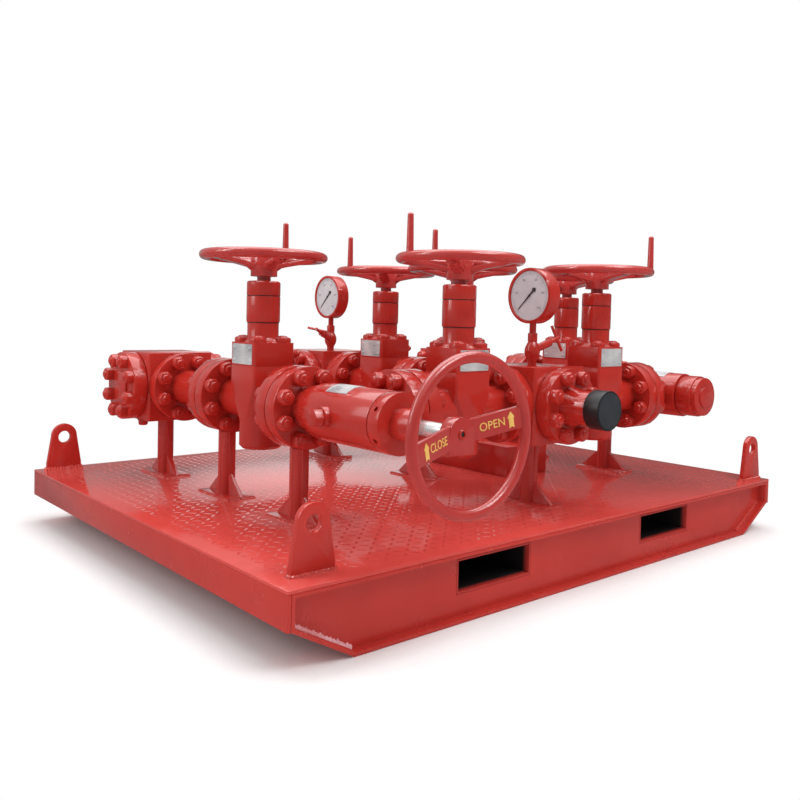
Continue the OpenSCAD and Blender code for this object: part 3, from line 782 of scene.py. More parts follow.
@dataclass
class BoltedJoints:
    """Rings of studs and nuts on every flange."""

    finishes: Finishes
    flange_t: float = 0.044
    circle: float = 0.172
    studs: int = 8
    nut_across: float = 0.041
    nut_high: float = 0.024
    nut_ease: float = 0.0070
    stud: float = 0.024
    stud_out: float = 0.005
    nut: Stock = field(init=False)

    def __post_init__(self) -> None:
        """Makes the nut with the rounded end of its stud."""
        self.nut = Stock(*Shapes.nut(self.nut_across, self.nut_high, self.nut_ease, self.stud, self.stud_out))

    def ring(self, name: str, faces: Sequence[tuple[Vector, Look]]) -> None:
        """Adds one ring of nuts on each given face as one piece.

        Args:
            name: Name of the piece.
            faces: Middle of each bolted face and the way it looks.
        """
        bm = bmesh.new()
        step = FULL_TURN / self.studs
        out = Matrix.Translation((self.circle / 2, 0, 0))
        for place, look in faces:
            stand = look.stand(place)
            self.nut.stamp(bm, [stand @ Matrix.Rotation((i + 0.5) * step, 4, "Z") @ out
                                for i in range(self.studs)])
        add_piece(name, bm, self.finishes.red)

    def build(self) -> None:
        """Finds every bolted face from the solids' boxes and fits its nuts."""
        block, back = middle("front_block"), middle("rear_center_block")
        left, right = middle("rear_left_block"), middle("rear_right_block")
        half = (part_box("front_block")[1].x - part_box("front_block")[0].x) / 2
        t, z = self.flange_t, block.z

        def along_x(x: float, y: float, to_left: bool) -> tuple[Vector, Look]:
            """Face across X at x, looking left or right."""
            return Vector((x, y, z)), Look.LEFT if to_left else Look.RIGHT

        def along_y(x: float, y: float, to_front: bool) -> tuple[Vector, Look]:
            """Face across Y at y, looking to the front or back."""
            return Vector((x, y, z)), Look.FRONT if to_front else Look.BACK

        for valve in ("left_valve", "right_valve", "bypass_front_valve", "bypass_rear_valve"):
            low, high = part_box(valve + "_body")
            x = (low.x + high.x) / 2
            self.ring(valve + "_flange_nuts", [along_y(x, low.y + t, False), along_y(x, high.y - t, True)])
        for valve in ("front_left_valve", "front_right_valve"):
            low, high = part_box(valve + "_body")
            self.ring(valve + "_flange_nuts",
                      [along_x(low.x + t, block.y, False), along_x(high.x - t, block.y, True)])
        for side, choke, column in (("left", "choke_a", left.x), ("right", "choke_b", right.x)):
            joint_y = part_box(side + "_valve_body")[0].y - t
            low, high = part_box("front_" + side + "_valve_body")
            joint_x = low.x - t if side == "left" else high.x + t
            self.ring(choke + "_flange_nuts",
                      [along_y(column, joint_y, True), along_x(joint_x, block.y, side == "left")])
            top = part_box(side + "_valve_body")[1].y
            self.ring(side + "_spool_nuts",
                      [along_y(column, top + t, False), along_y(column, back.y - half - t, True)])
        for side, start, stop in (("left", left, back), ("right", back, right)):
            self.ring("rear_" + side + "_spool_nuts",
                      [along_x(start.x + half + t, back.y, False), along_x(stop.x - half - t, back.y, True)])
        self.ring("blind_flange_nuts", [along_x(left.x - half - t, back.y, True),
                                        along_x(right.x + half + t, back.y, False)])
        self.ring("inlet_flange_nuts", [along_y(block.x, block.y - half - t, True)])


@dataclass
class Valve:
    """Loose fittings of one gate valve: nuts, blank plate, grease fitting, spoke webs, and dark rings of
    painted shade in the cap's groove and the joint under it.
    """

    name: str
    plate_look: Look
    grip_deg: float
    finishes: Finishes
    nut: tuple[float, float, float] = (0.045, 0.015, 0.0065)
    stud: Pair = (0.030, 0.005)
    bonnet_high: float = 0.065
    nut_inset: float = 0.025
    plate_size: tuple[float, float, float] = (0.106, 0.056, 0.0014)
    plate_corner: float = 0.004
    rivet: float = 0.005
    rivet_rise: tuple[float, float, float] = (0.0008, 0.0020, 0.0022)
    fitting_drop: float = 0.034
    fitting_neck: Outline = ((0, 0), (0.011, 0), (0.011, 0.016), (0.009, 0.018), (0.009, 0.026), (0, 0.026))
    fitting_cap: tuple[float, float, float, float] = (0.026, 0.024, 0.003, 0.022)
    fitting_ball: Outline = ((0, 0.044), (0.010, 0.044), (0.011, 0.050), (0.007, 0.056), (0, 0.058))
    spokes: int = 4
    web_reach: Pair = (0.030, 0.125)
    web_rise: Pair = (0.024, 0.054)
    web_curve: Outline = ((0.20, 0.45), (0.50, 0.72))
    web_drop: float = 0.004
    web_t: float = 0.028
    web_ease: float = 0.006
    cap: Pair = (0.093, 0.115)
    neck_d: float = 0.087
    groove: Pair = (0.040, 0.0025)
    seam_t: float = 0.004
    groove_depth: float = 0.0009
    neck_rise: float = 0.0006

    def build(self) -> None:
        """Fits the small pieces to the bonnet and the handwheel."""
        low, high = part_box(self.name + "_bonnet")
        centre = (low + high) / 2
        reach = (high.x - low.x) / 2
        top = low.z + self.bonnet_high
        self._nuts(centre, reach - self.nut_inset, top)
        face = Vector((centre.x, centre.y, low.z + self.bonnet_high / 2)) + self.plate_look.vector * reach
        self._plate(self.plate_look.lay(face))
        self._fitting(Look.RIGHT.stand(Vector((high.x, centre.y, top - self.fitting_drop))))
        cap = Matrix.Translation((centre.x, centre.y, high.z))
        self._webs(cap)
        self._seam_shade(cap)

    def _nuts(self, centre: Vector, arm: float, top: float) -> None:
        """Sets a nut on each corner of the bonnet."""
        spots = [Look.UP.stand(Vector((centre.x + sx * arm, centre.y + sy * arm, top)))
                 for sx in (-1, 1) for sy in (-1, 1)]
        bm = Stock(*Shapes.nut(*self.nut, *self.stud)).stamp(bmesh.new(), spots)
        add_piece(self.name + "_bonnet_nuts", bm, self.finishes.red)

    def _plate(self, place: Matrix) -> None:
        """Rivets a blank plate to the bonnet."""
        width, high, thick = self.plate_size
        r = self.rivet
        edge, slope, crown = (thick + rise for rise in self.rivet_rise)
        rivet = Shapes.turned([(0, 0), (r, 0), (r, edge), (0.5 * r, slope), (0, crown)], 12)
        bm = placed(place, Shapes.sheet(width, high, thick, self.plate_corner))
        inset = 2.2 * r
        corners = [place @ Matrix.Translation((sx * (width / 2 - inset), sy * (high / 2 - inset), 0))
                   for sx in (-1, 1) for sy in (-1, 1)]
        Stock(rivet).stamp(bm, corners)
        add_piece(self.name + "_blank_plate", bm, self.finishes.plate)

    def _fitting(self, place: Matrix) -> None:
        """Screws a grease fitting into the side of the bonnet."""
        bm = placed(place, Shapes.turned(self.fitting_neck, 16), Shapes.prism(6, *self.fitting_cap),
                    Shapes.turned(self.fitting_ball, 16))
        add_piece(self.name + "_grease_fitting", bm, self.finishes.red)

    def _webs(self, cap: Matrix) -> None:
        """Thickens the handwheel's spokes where they run into the hub.

        Args:
            cap: Place of the middle of the bonnet's top, under the handwheel.
        """
        inner, outer = self.web_reach
        low, high = self.web_rise
        curve = [(inner + along * (outer - inner), low + up * (high - low)) for along, up in self.web_curve]
        side = [(inner, low), *curve, (outer, high), (inner, high - self.web_drop)]
        bm = Shapes.slab([(r, -self.web_t / 2, z) for r, z in side], (0, self.web_t, 0))
        under = [e for e in bm.edges if abs(e.verts[0].co.y - e.verts[1].co.y) < SAME_POINT
                 and min(v.co.z for v in e.verts) < 0.9 * high]
        Shapes.eased(bm, under, self.web_ease)
        step = FULL_TURN / self.spokes
        turns = [math.radians(self.grip_deg) + (i + 0.5) * step for i in range(self.spokes)]
        made = Stock(bm).stamp(bmesh.new(), [cap @ Matrix.Rotation(turn, 4, "Z") for turn in turns])
        add_piece(self.name + "_spoke_webs", made, self.finishes.wheel, self.name + "_handwheel")

    def _seam_shade(self, cap: Matrix) -> None:
        """Paints shade into the groove of the cap and the joint under it, as two dark rings.

        Args:
            cap: Place of the middle of the bonnet's top.
        """
        cap_d, cap_high = self.cap
        down, wide = self.groove
        rings = []
        for r, z in ((cap_d / 2 - self.groove_depth, -down), (self.neck_d / 2 + self.neck_rise, -cap_high)):
            inner = r - self.seam_t
            corners = [(inner, z - wide), (r, z - wide), (r, z), (inner, z), (inner, z - wide)]
            rings.append(Shapes.turned(corners, 48))
        add_piece(self.name + "_seam_shade", placed(cap, *rings), self.finishes.seam)


@dataclass
class Gauge:
    """Dial, scale and pointer of one pressure gauge that faces to the left, and the tap under it.

    Outlines of the tap are in shares of its radius, and heights in metres.
    """

    name: str
    block: str
    finishes: Finishes
    tap_d: float = 0.044
    tap_outline: Outline = ((0, 0.001), (0.60, 0.001), (0.62, 0.014), (0.96, 0.028), (1.06, 0.038),
                            (1.02, 0.050), (0.74, 0.064), (0.58, 0.070), (0, 0.070))
    union: tuple[float, float, float, float] = (0.027, 0.026, 0.003, 0.070)
    rim: float = 0.009
    rim_gap: float = 0.0004
    recess: float = 0.005
    dial_t: float = 0.0012
    ink_t: float = 0.0005
    sweep: Pair = (225.0, -45.0)
    marks: int = 10
    parts: int = 5
    long_mark: Pair = (0.009, 0.0013)
    short_mark: Pair = (0.005, 0.0008)
    mark_corner: float = 0.0002
    mark_ring: float = 0.93
    number_ring: float = 0.70
    number_high: float = 0.011
    pointer_deg: float = 224.0
    pointer_r: Pair = (0.0034, 0.0010)
    pointer_flat: float = 0.3
    pointer_lift: float = 0.0016
    reach: float = 0.80
    tail: float = 0.34
    weight: Outline = ((0, 0.0006), (0.0078, 0.0006), (0.0078, 0.0026), (0, 0.0028))
    pin: Outline = ((0, 0), (0.0036, 0), (0.0036, 0.0026), (0.0024, 0.0034), (0, 0.0036))
    radius: float = field(init=False)
    place: Matrix = field(init=False)

    def build(self) -> None:
        """Fits the dial, its marks and its pointer in the recess of the case, and rounds the tap."""
        low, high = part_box(self.name)
        case = (high.y - low.y) / 2
        self.radius = case - self.rim
        self.place = Look.LEFT.lay(Vector((low.x + self.recess, (low.y + high.y) / 2, high.z - case)))
        edge = self.radius - self.rim_gap
        dial = Shapes.turned([(0, 0), (edge, 0), (edge, self.dial_t), (0, self.dial_t)], 64)
        bmesh.ops.transform(dial, matrix=self.place, verts=dial.verts)
        add_piece(self.name + "_dial", dial, self.finishes.dial)
        add_piece(self.name + "_scale", self._scale(), self.finishes.faint)
        add_piece(self.name + "_pointer", self._pointer(), self.finishes.ink)
        self._tap(Look.UP.stand(top_middle(self.block)))

    def _tap(self, place: Matrix) -> None:
        """Rounds the tap under the gauge: a swollen body where its arm leaves and a union nut on top."""
        r = self.tap_d / 2
        body = Shapes.turned([(share * r, z) for share, z in self.tap_outline], 24)
        bm = placed(place, body, Shapes.prism(6, *self.union))
        add_piece(self.name + "_tap", bm, self.finishes.red)

    def _spot(self, degrees: float, radius: float, turn: float = 0.0) -> Matrix:
        """Place on the dial at an angle and radius, turned about its own middle."""
        a = math.radians(degrees)
        at = Matrix.Translation((radius * math.cos(a), radius * math.sin(a), self.dial_t))
        return self.place @ at @ Matrix.Rotation(math.radians(turn), 4, "Z")

    def _scale(self) -> Mesh:
        """Draws long and short marks and plain numbers round the dial.

        Returns:
            The ink mesh.
        """
        bm = bmesh.new()
        sizes = (self.long_mark, self.short_mark)
        stocks = [Stock(Shapes.sheet(*size, self.ink_t, self.mark_corner)) for size in sizes]
        first, last = self.sweep
        steps = self.marks * self.parts
        for i in range(steps + 1):
            angle = first + (last - first) * i / steps
            kind = 0 if i % self.parts == 0 else 1
            spot = self._spot(angle, self.mark_ring * self.radius - sizes[kind][0] / 2, angle)
            stocks[kind].stamp(bm, [spot])
            if i % (2 * self.parts) == 0:
                number = Stock(Shapes.lettering(str(2 * i), self.number_high, self.ink_t))
                number.stamp(bm, [self._spot(angle, self.number_ring * self.radius)])
        return bm

    def _pointer(self) -> Mesh:
        """Makes the tapered pointer, the weight on its tail and its pin.

        Returns:
            The pointer mesh.
        """
        bm = bmesh.new()
        tail = self.tail * self.radius
        length = self.reach * self.radius + tail
        root, tip = self.pointer_r
        lie = Matrix.Translation((length / 2 - tail, 0, 0)) @ Matrix.Rotation(math.pi / 2, 4, "Y")
        bmesh.ops.create_cone(bm, cap_ends=True, segments=4, radius1=root, radius2=tip, depth=length,
                              matrix=lie)
        lift = Matrix.Translation((0, 0, self.pointer_lift))
        flatten = Matrix.Diagonal((1, 1, self.pointer_flat, 1))
        bmesh.ops.transform(bm, matrix=lift @ flatten, verts=bm.verts)
        weight = Shapes.turned(self.weight, 4)
        bmesh.ops.translate(weight, verts=weight.verts, vec=(-tail, 0, 0))
        spot = self._spot(self.pointer_deg, 0, self.pointer_deg)
        return placed(spot, bm, weight, Shapes.turned(self.pin, 20))


@dataclass
class ChokeWheel:
    """Stencilled words and arrows on the two flat spokes of the choke handwheel, and the screw of its hub."""

    finishes: Finishes
    body: str = "choke_handwheel"
    hub_set: float = 0.028
    bar_root: float = 0.016
    bar_t: float = 0.012
    rise_right: float = 12.0
    drop_left: float = 11.0
    rim_d: float = 0.025
    ink_t: float = 0.0008
    words_high: float = 0.026
    word_at: Pair = (0.080, -0.077)
    word_squeeze: Pair = (0.94, 0.80)
    arrow_at: Pair = (0.126, -0.121)
    arrow: Outline = ((-0.0060, -0.018), (0.0, -0.0145), (0.0060, -0.018), (0.0060, 0.005), (0.0090, 0.005),
                      (0.0, 0.019), (-0.0090, 0.005), (-0.0060, 0.005))
    screw: float = 0.022
    screw_out: float = 0.003
    screw_root: float = 0.001
    socket_shade_t: float = 0.0002

    def _bar(self, centre: Vector, reach: float, degrees: float) -> Matrix:
        """Matrix from a flat drawing to the outer face of a leaning spoke.

        Args:
            centre: Middle of the rim plane.
            reach: Rim's middle radius.
            degrees: Angle of the spoke above the right-hand horizontal.

        Returns:
            Matrix that takes X along the spoke to the right, Y up and Z out of its face.
        """
        a = math.radians(degrees)
        along = Vector((math.cos(a), 0, math.sin(a)))
        lean = (self.hub_set + self.bar_root) / reach
        sign = 1 if along.x > 0 else -1
        across = Vector((0, 0, 1)) - along * along.z
        across.normalize()
        run = (along - Vector((0, lean, 0))) * sign
        out = run.cross(across).normalized()
        root = centre + Vector((0, self.hub_set + self.bar_root - self.bar_t / 2, 0))
        turn = Matrix((run, across, out)).transposed()
        return Matrix.Translation(root) @ turn.to_4x4()

    def build(self) -> None:
        """Stencils both spokes and fits the screw."""
        low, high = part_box("choke_a_wheel")
        centre = Vector(((low.x + high.x) / 2, low.y + self.rim_d / 2, (low.z + high.z) / 2))
        reach = (high.x - low.x - self.rim_d) / 2
        bars = [self._bar(centre, reach, degrees) for degrees in (self.rise_right, 180 + self.drop_left)]
        bm = bmesh.new()
        arrow = Stock(Shapes.slab([(x, y, 0) for x, y in self.arrow], (0, 0, self.ink_t)))
        arrow.stamp(bm, [bar @ Matrix.Translation((at, 0, 0)) for bar, at in zip(bars, self.arrow_at)])
        for bar, word, at, squeeze in zip(bars, ("OPEN", "CLOSE"), self.word_at, self.word_squeeze):
            spot = bar @ Matrix.Translation((at, 0, 0)) @ Matrix.Diagonal((squeeze, 1, 1, 1))
            Stock(Shapes.lettering(word, self.words_high, self.ink_t)).stamp(bm, [spot])
        add_piece("choke_wheel_stencil", bm, self.finishes.yellow, self.body)
        self._screw(Look.FRONT.stand(centre + Vector((0, self.hub_set, 0))))

    def _screw(self, place: Matrix) -> None:
        """Sinks the head of the hub's screw in the face of the hub, with a black disc of painted shade at the
        bottom of its socket.
        """
        r, t = self.screw / 2, self.screw_out
        hole, floor = 0.52 * r, 0.2 * t
        head = Shapes.turned([(hole, -self.screw_root), (r, -self.screw_root), (r, 0.7 * t), (0.9 * r, t),
                              (0.56 * r, t), (hole, floor), (hole, -self.screw_root)], 24)
        add_piece("choke_hub_screw", placed(place, head), self.finishes.red, self.body)
        # Painted shade: a black disc at the socket's floor, for the shade deep in the hole.
        socket = Shapes.turned([(0, self.socket_shade_t), (hole, self.socket_shade_t), (hole, floor), (0, floor)], 6)
        add_piece("choke_hub_socket_shade", placed(place, socket), self.finishes.ink, self.body)


@dataclass
class ChokeTrim:
    """Curved blank plates of the two choke bodies, and a lighter disc on the inlet cap's face as its painted
    reflection.
    """

    finishes: Finishes
    body_d: float = 0.146
    plate: tuple[float, float, float] = (0.084, 0.062, 0.0012)
    plate_ahead: Pair = (0.005, 0.010)
    plate_lean: Pair = (14.0, 10.0)
    face_share: float = 0.91
    face_t: float = 0.0004

    def _curved_plate(self, name: str, place: Vector, lean: float) -> None:
        """Bends a blank plate round a choke body that runs along Y.

        Args:
            name: Name of the piece.
            place: Point on the axis under the plate's middle.
            lean: Angle of the plate from straight up, positive towards the left, in degrees.
        """
        length, width, thick = self.plate
        radius = self.body_d / 2
        bm = bmesh.new()
        bmesh.ops.create_grid(bm, x_segments=12, y_segments=2, size=0.5)
        for v in bm.verts:
            a = math.radians(90 + lean) + v.co.x * width / radius
            v.co = Vector((radius * math.cos(a), v.co.y * length, radius * math.sin(a)))
        bmesh.ops.recalc_face_normals(bm, faces=bm.faces)
        shell = bmesh.ops.extrude_face_region(bm, geom=bm.faces[:])["geom"]
        for v in shell:
            if isinstance(v, bmesh.types.BMVert):
                v.co += Vector((v.co.x, 0, v.co.z)).normalized() * thick
        bmesh.ops.recalc_face_normals(bm, faces=bm.faces)
        bmesh.ops.translate(bm, verts=bm.verts, vec=place)
        add_piece(name, bm, self.finishes.plate)

    def build(self) -> None:
        """Fits the plates and the painted reflection on the cap's face."""
        line = middle("front_block")
        columns = (("choke_a", "rear_left_block"), ("choke_b", "rear_right_block"))
        for (choke, block), ahead, lean in zip(columns, self.plate_ahead, self.plate_lean):
            under = Vector((middle(block).x, line.y - ahead, line.z))
            self._curved_plate(choke + "_blank_plate", under, lean)
        # Painted reflection: a thin lighter disc over the cap's front face.
        low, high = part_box("inlet_cap")
        r, t = self.face_share * (high.x - low.x) / 2, self.face_t
        face = Shapes.turned([(0, -t), (r, -t), (r, t), (0.985 * r, 2 * t), (0, 2 * t)], 48)
        place = Look.FRONT.stand(Vector(((low.x + high.x) / 2, low.y, (low.z + high.z) / 2)))
        add_piece("inlet_cap_painted_reflection", placed(place, face), self.finishes.cap_face)


@dataclass
class Skid:
    """Tread, weld beads, round posts and drain plug of the skid."""

    finishes: Finishes
    pitch: float = 0.0295
    bar: tuple[float, float, float] = (0.024, 0.0085, 0.00010)
    bar_deg: float = 45.0
    bar_steps: Outline = ((0.80, 0.66), (0.55, 0.35))
    bar_room: float = 0.006
    border: float = 0.030
    bead: float = 0.0062
    foot_bead: float = 0.6
    ripple: float = 0.0100
    swell: Pair = (0.80, 1.18)
    swell_play: float = 0.22
    foot: Pair = (0.086, 0.190)
    lug: Pair = (0.112, 0.016)
    web_in: float = 0.028
    nose: tuple[float, float, float] = (0.030, 0.174, 0.090)
    nose_beads: Pair = (1.15, 0.7)
    flange: float = 0.010
    post_d: float = 0.051
    post_sink: float = 0.0005
    base_t: float = 0.006
    joint_d: float = 0.218
    plug_off: float = 0.079
    plug_neck: Outline = ((0, 0), (0.018, 0), (0.018, 0.008), (0, 0.008))
    plug_head: tuple[float, float, float] = (0.030, 0.024, 0.006)
    seed: int = 7

    def __post_init__(self) -> None:
        """Finds the feet and the lugs that stand on the deck."""
        self.random = random.Random(self.seed)
        self.deck_low, self.deck_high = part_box("deck_plate")
        names = ("rear_left_block", "rear_center_block", "rear_right_block", "front_block")
        blocks = [middle(name) for name in names]
        left, _, right, front = blocks
        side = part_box("left_valve_body")
        self.block_feet = [(block.x, block.y) for block in blocks]
        self.joint_feet = [(front.x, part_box("bypass_rear_valve_body")[0].y)]
        self.joint_feet += [(x, y) for x in (left.x, right.x) for y in (side[0].y, side[1].y)]
        self.feet = self.block_feet + self.joint_feet
        mounts = frame["record"]["mounts"]
        self.lugs = [tuple(m["pos_m"][:2]) for m in mounts if m["name"].startswith("lug_")]

    @staticmethod
    def _round(places: Sequence[Pair], size: Pair) -> list[tuple[float, float, float, float]]:
        """Lowest and highest X and Y of a rectangle of one size round each place."""
        w, d = size
        return [(x - w / 2, x + w / 2, y - d / 2, y + d / 2) for x, y in places]

    def _tread_bar(self) -> Stock:
        """One raised bar: a stretched round that is extruded in two narrowing steps.

        Returns:
            The bar along X, on a floor at zero.
        """
        length, width, high = self.bar
        bm = bmesh.new()
        stretch = Matrix.Diagonal((length, width, 1, 1))
        bmesh.ops.create_circle(bm, cap_ends=True, segments=8, radius=0.5, matrix=stretch)
        lift = Matrix.Translation((0, 0, 0.5 * high))
        for shrink in self.bar_steps:
            crown = max(bm.faces, key=lambda f: f.calc_center_median().z)
            grown = bmesh.ops.extrude_face_region(bm, geom=[crown])["geom"]
            bmesh.ops.transform(bm, matrix=lift @ Matrix.Diagonal((*shrink, 1, 1)),
                                verts=[v for v in grown if isinstance(v, bmesh.types.BMVert)])
        inside = [f for f in bm.faces
                  if len(f.verts) == 8 and 0.1 * high < f.calc_center_median().z < 0.9 * high]
        bmesh.ops.delete(bm, geom=inside, context="FACES_ONLY")
        bmesh.ops.recalc_face_normals(bm, faces=bm.faces)
        return Stock(bm)

    def tread(self) -> None:
        """Lays raised bars in two crossing directions over the deck."""
        length = self.bar[0]
        bar = self._tread_bar()
        row = bmesh.new()
        columns = int(2 * (self.deck_high.x - self.border - length / 2) / self.pitch)
        for i in range(columns + 1):
            turn = Matrix.Rotation(math.radians(self.bar_deg if i % 2 else -self.bar_deg), 4, "Z")
            bar.stamp(row, [Matrix.Translation((-columns * self.pitch / 2 + i * self.pitch, 0, 0)) @ turn])
        full_row = Stock(row)
        reach = (self.deck_high.y - self.deck_low.y) / 2 - self.border - length / 2
        rows = int(2 * reach / self.pitch)
        start = (self.deck_high.y + self.deck_low.y) / 2 - rows * self.pitch / 2
        places = []
        for j in range(rows + 1):
            flip = Matrix.Identity(4) if j % 2 else Matrix.Diagonal((-1, 1, 1, 1))
            places.append(Matrix.Translation((0, start + j * self.pitch, self.deck_high.z)) @ flip)
        bars = full_row.stamp(bmesh.new(), places)
        self._clear(bars, length / 2 + self.bar_room)
        bmesh.ops.recalc_face_normals(bars, faces=bars.faces)
        add_piece("deck_tread", bars, self.finishes.deck)

    def _clear(self, bm: Mesh, room: float) -> None:
        """Takes out the bars that would run under something.

        Args:
            bm: The whole field of bars.
            room: Distance kept round each covered rectangle.
        """
        low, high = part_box("deck_box")
        boxes = self._round(self.feet, self.foot) + self._round(self.lugs, self.lug)
        boxes.append((low.x, high.x, low.y, high.y))
        doomed = set()
        for crown in (f for f in bm.faces if len(f.verts) == 8):
            c = crown.calc_center_median()
            if any(x0 - room < c.x < x1 + room and y0 - room < c.y < y1 + room for x0, x1, y0, y1 in boxes):
                middle_ring = {e.other_vert(v) for v in crown.verts for e in v.link_edges}
                doomed.update(middle_ring)
                doomed.update(e.other_vert(v) for v in middle_ring for e in v.link_edges)
        bmesh.ops.delete(bm, geom=list(doomed), context="VERTS")

    def _bead(self, bm: Mesh, start: Vector, stop: Vector, radius: float) -> None:
        """Adds one rippled weld bead along a line.

        Args:
            bm: Mesh that takes the bead.
            start: One end of the line.
            stop: The other end.
            radius: Size of the bead.
        """
        run = stop - start
        cuts = max(2, int(run.length / (self.ripple / 2)))
        shape = bmesh.new()
        bmesh.ops.create_cone(shape, cap_ends=True, segments=8, radius1=radius, radius2=radius,
                              depth=run.length)
        upright = [e for e in shape.edges if abs(e.verts[0].co.z - e.verts[1].co.z) > run.length / 2]
        bmesh.ops.subdivide_edges(shape, edges=upright, cuts=cuts, use_grid_fill=True)
        swell: dict[int, float] = {}
        for v in shape.verts:
            index = round((v.co.z / run.length + 0.5) * (cuts + 1))
            if index not in swell:
                play = self.random.uniform(1 - self.swell_play, 1 + self.swell_play)
                swell[index] = self.swell[index % 2] * play
            v.co.x *= swell[index]
            v.co.y *= swell[index]
        turn = Vector((0, 0, 1)).rotation_difference(run.normalized()).to_matrix().to_4x4()
        Stock(shape).stamp(bm, [Matrix.Translation((start + stop) / 2) @ turn])

    def _deck_welds(self, name: str, boxes: Sequence[tuple], radius: float) -> None:
        """Runs beads round rectangles that stand on the deck, but not along the deck's edge.

        Args:
            name: Name of the piece.
            boxes: Lowest and highest X and Y of each rectangle.
            radius: Size of the beads.
        """
        bm = bmesh.new()
        low, high = self.deck_low, self.deck_high
        for x0, x1, y0, y1 in boxes:
            corners = [Vector((x, y, high.z)) for x, y in ((x0, y0), (x1, y0), (x1, y1), (x0, y1))]
            for a, b in zip(corners, corners[1:] + corners[:1]):
                at = (a + b) / 2
                if low.x < at.x - radius and at.x + radius < high.x and at.y + radius < high.y:
                    self._bead(bm, a, b, radius)
        add_piece(name, bm, self.finishes.weld)

    def welds(self) -> None:
        """Welds the feet and the lugs to the deck, and the noses to the runners."""
        self._deck_welds("pedestal_welds", self._round(self.feet, self.foot), self.foot_bead * self.bead)
        self._deck_welds("lug_welds", self._round(self.lugs, self.lug), self.bead)
        start, stop, high = self.nose
        edge = self.deck_high.x
        # The left nose beads take the pale painted-highlight finish.
        sides = (("left", -1, self.finishes.weld_highlight), ("right", 1, self.finishes.weld))
        for (name, side, finish), share in zip(sides, self.nose_beads):
            bm = bmesh.new()
            for y in (self.deck_low.y + self.web_in, self.deck_high.y - self.web_in):
                top = Vector((side * (edge - start), y, high))
                self._bead(bm, top, Vector((side * (edge - stop), y, self.flange)), share * self.bead)
            add_piece(name + "_nose_welds", bm, finish)

    def posts(self) -> None:
        """Rounds the post of each pedestal from its foot to the block or joint that it carries."""
        foot = self.deck_high.z + self.base_t
        joint = middle("front_block").z - self.joint_d / 2
        bm, r = bmesh.new(), self.post_d / 2
        for feet, top in ((self.block_feet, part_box("front_block")[0].z), (self.joint_feet, joint)):
            low, high = -self.post_sink, top - foot + self.post_sink
            post = Stock(Shapes.turned([(0, low), (r, low), (r, high), (0, high)]))
            post.stamp(bm, [Matrix.Translation((x, y, foot)) for x, y in feet])
        add_piece("pedestal_posts", bm, self.finishes.steelwork)

    def plug(self) -> None:
        """Screws a drain plug into the underside of the left rear block."""
        at = middle("rear_left_block")
        place = Look.DOWN.stand(Vector((at.x - self.plug_off, at.y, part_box("rear_left_block")[0].z)))
        bm = placed(place, Shapes.turned(self.plug_neck, 20), Shapes.prism(6, *self.plug_head))
        add_piece("block_drain_plug", bm, self.finishes.red)

    def build(self) -> None:
        """Makes the tread, the welds, the posts and the plug."""
        self.tread()
        self.welds()
        self.posts()
        self.plug()


@dataclass(frozen=True)
class PhotoCamera:
    """Camera solved from the photograph's skid edges, handwheels and feet.

    The offset is from the near front corner of the deck; the pixel values are in the 800 pixel frame.
    """

    offset: RGB = (-0.8783584, -1.3748477, 0.5413115)
    yaw: float = 0.8432
    pitch: float = 0.0333
    roll: float = 0.0236
    focal_px: float = 830.2142
    centre_px: Pair = (425.2004, 346.4396)
    image_px: float = 800.0
    sensor_mm: float = 36.0
    clip: Pair = (0.05, 200.0)

    def build(self) -> None:
        """Makes the scene's camera."""
        low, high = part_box("deck_plate")
        place = Vector((low.x, low.y, high.z)) + Vector(self.offset)
        flat = math.cos(self.pitch)
        ahead = Vector((math.cos(self.yaw) * flat, math.sin(self.yaw) * flat, -math.sin(self.pitch)))
        level = Vector((math.sin(self.yaw), -math.cos(self.yaw), 0))
        above = level.cross(ahead)
        side = math.cos(self.roll) * level + math.sin(self.roll) * above
        up = -math.sin(self.roll) * level + math.cos(self.roll) * above
        lens = bpy.data.cameras.new("photo_camera")
        lens.sensor_width = self.sensor_mm
        lens.lens = self.focal_px * self.sensor_mm / self.image_px
        lens.shift_x = 0.5 - self.centre_px[0] / self.image_px
        lens.shift_y = self.centre_px[1] / self.image_px - 0.5
        lens.clip_start, lens.clip_end = self.clip
        camera = bpy.data.objects.new("photo_camera", lens)
        camera.matrix_world = Matrix.Translation(place) @ Matrix((side, up, -ahead)).transposed().to_4x4()
        bpy.context.scene.collection.objects.link(camera)
        bpy.context.scene.camera = camera


@dataclass(frozen=True)
class Lamp:
    """One soft lamp: where it hangs, the point that it looks at, its two sides and its power in watts."""

    name: str
    place: RGB
    aim: RGB
    size: Pair
    power: float

    def build(self) -> None:
        """Hangs the lamp."""
        data = bpy.data.lights.new(self.name, "AREA")
        data.shape = "RECTANGLE"
        data.size, data.size_y = self.size
        data.energy = self.power
        lamp = bpy.data.objects.new(self.name, data)
        way = Vector(self.aim) - Vector(self.place)
        lamp.matrix_world = Matrix.Translation(self.place) @ way.to_track_quat("-Z", "Y").to_matrix().to_4x4()
        bpy.context.scene.collection.objects.link(lamp)


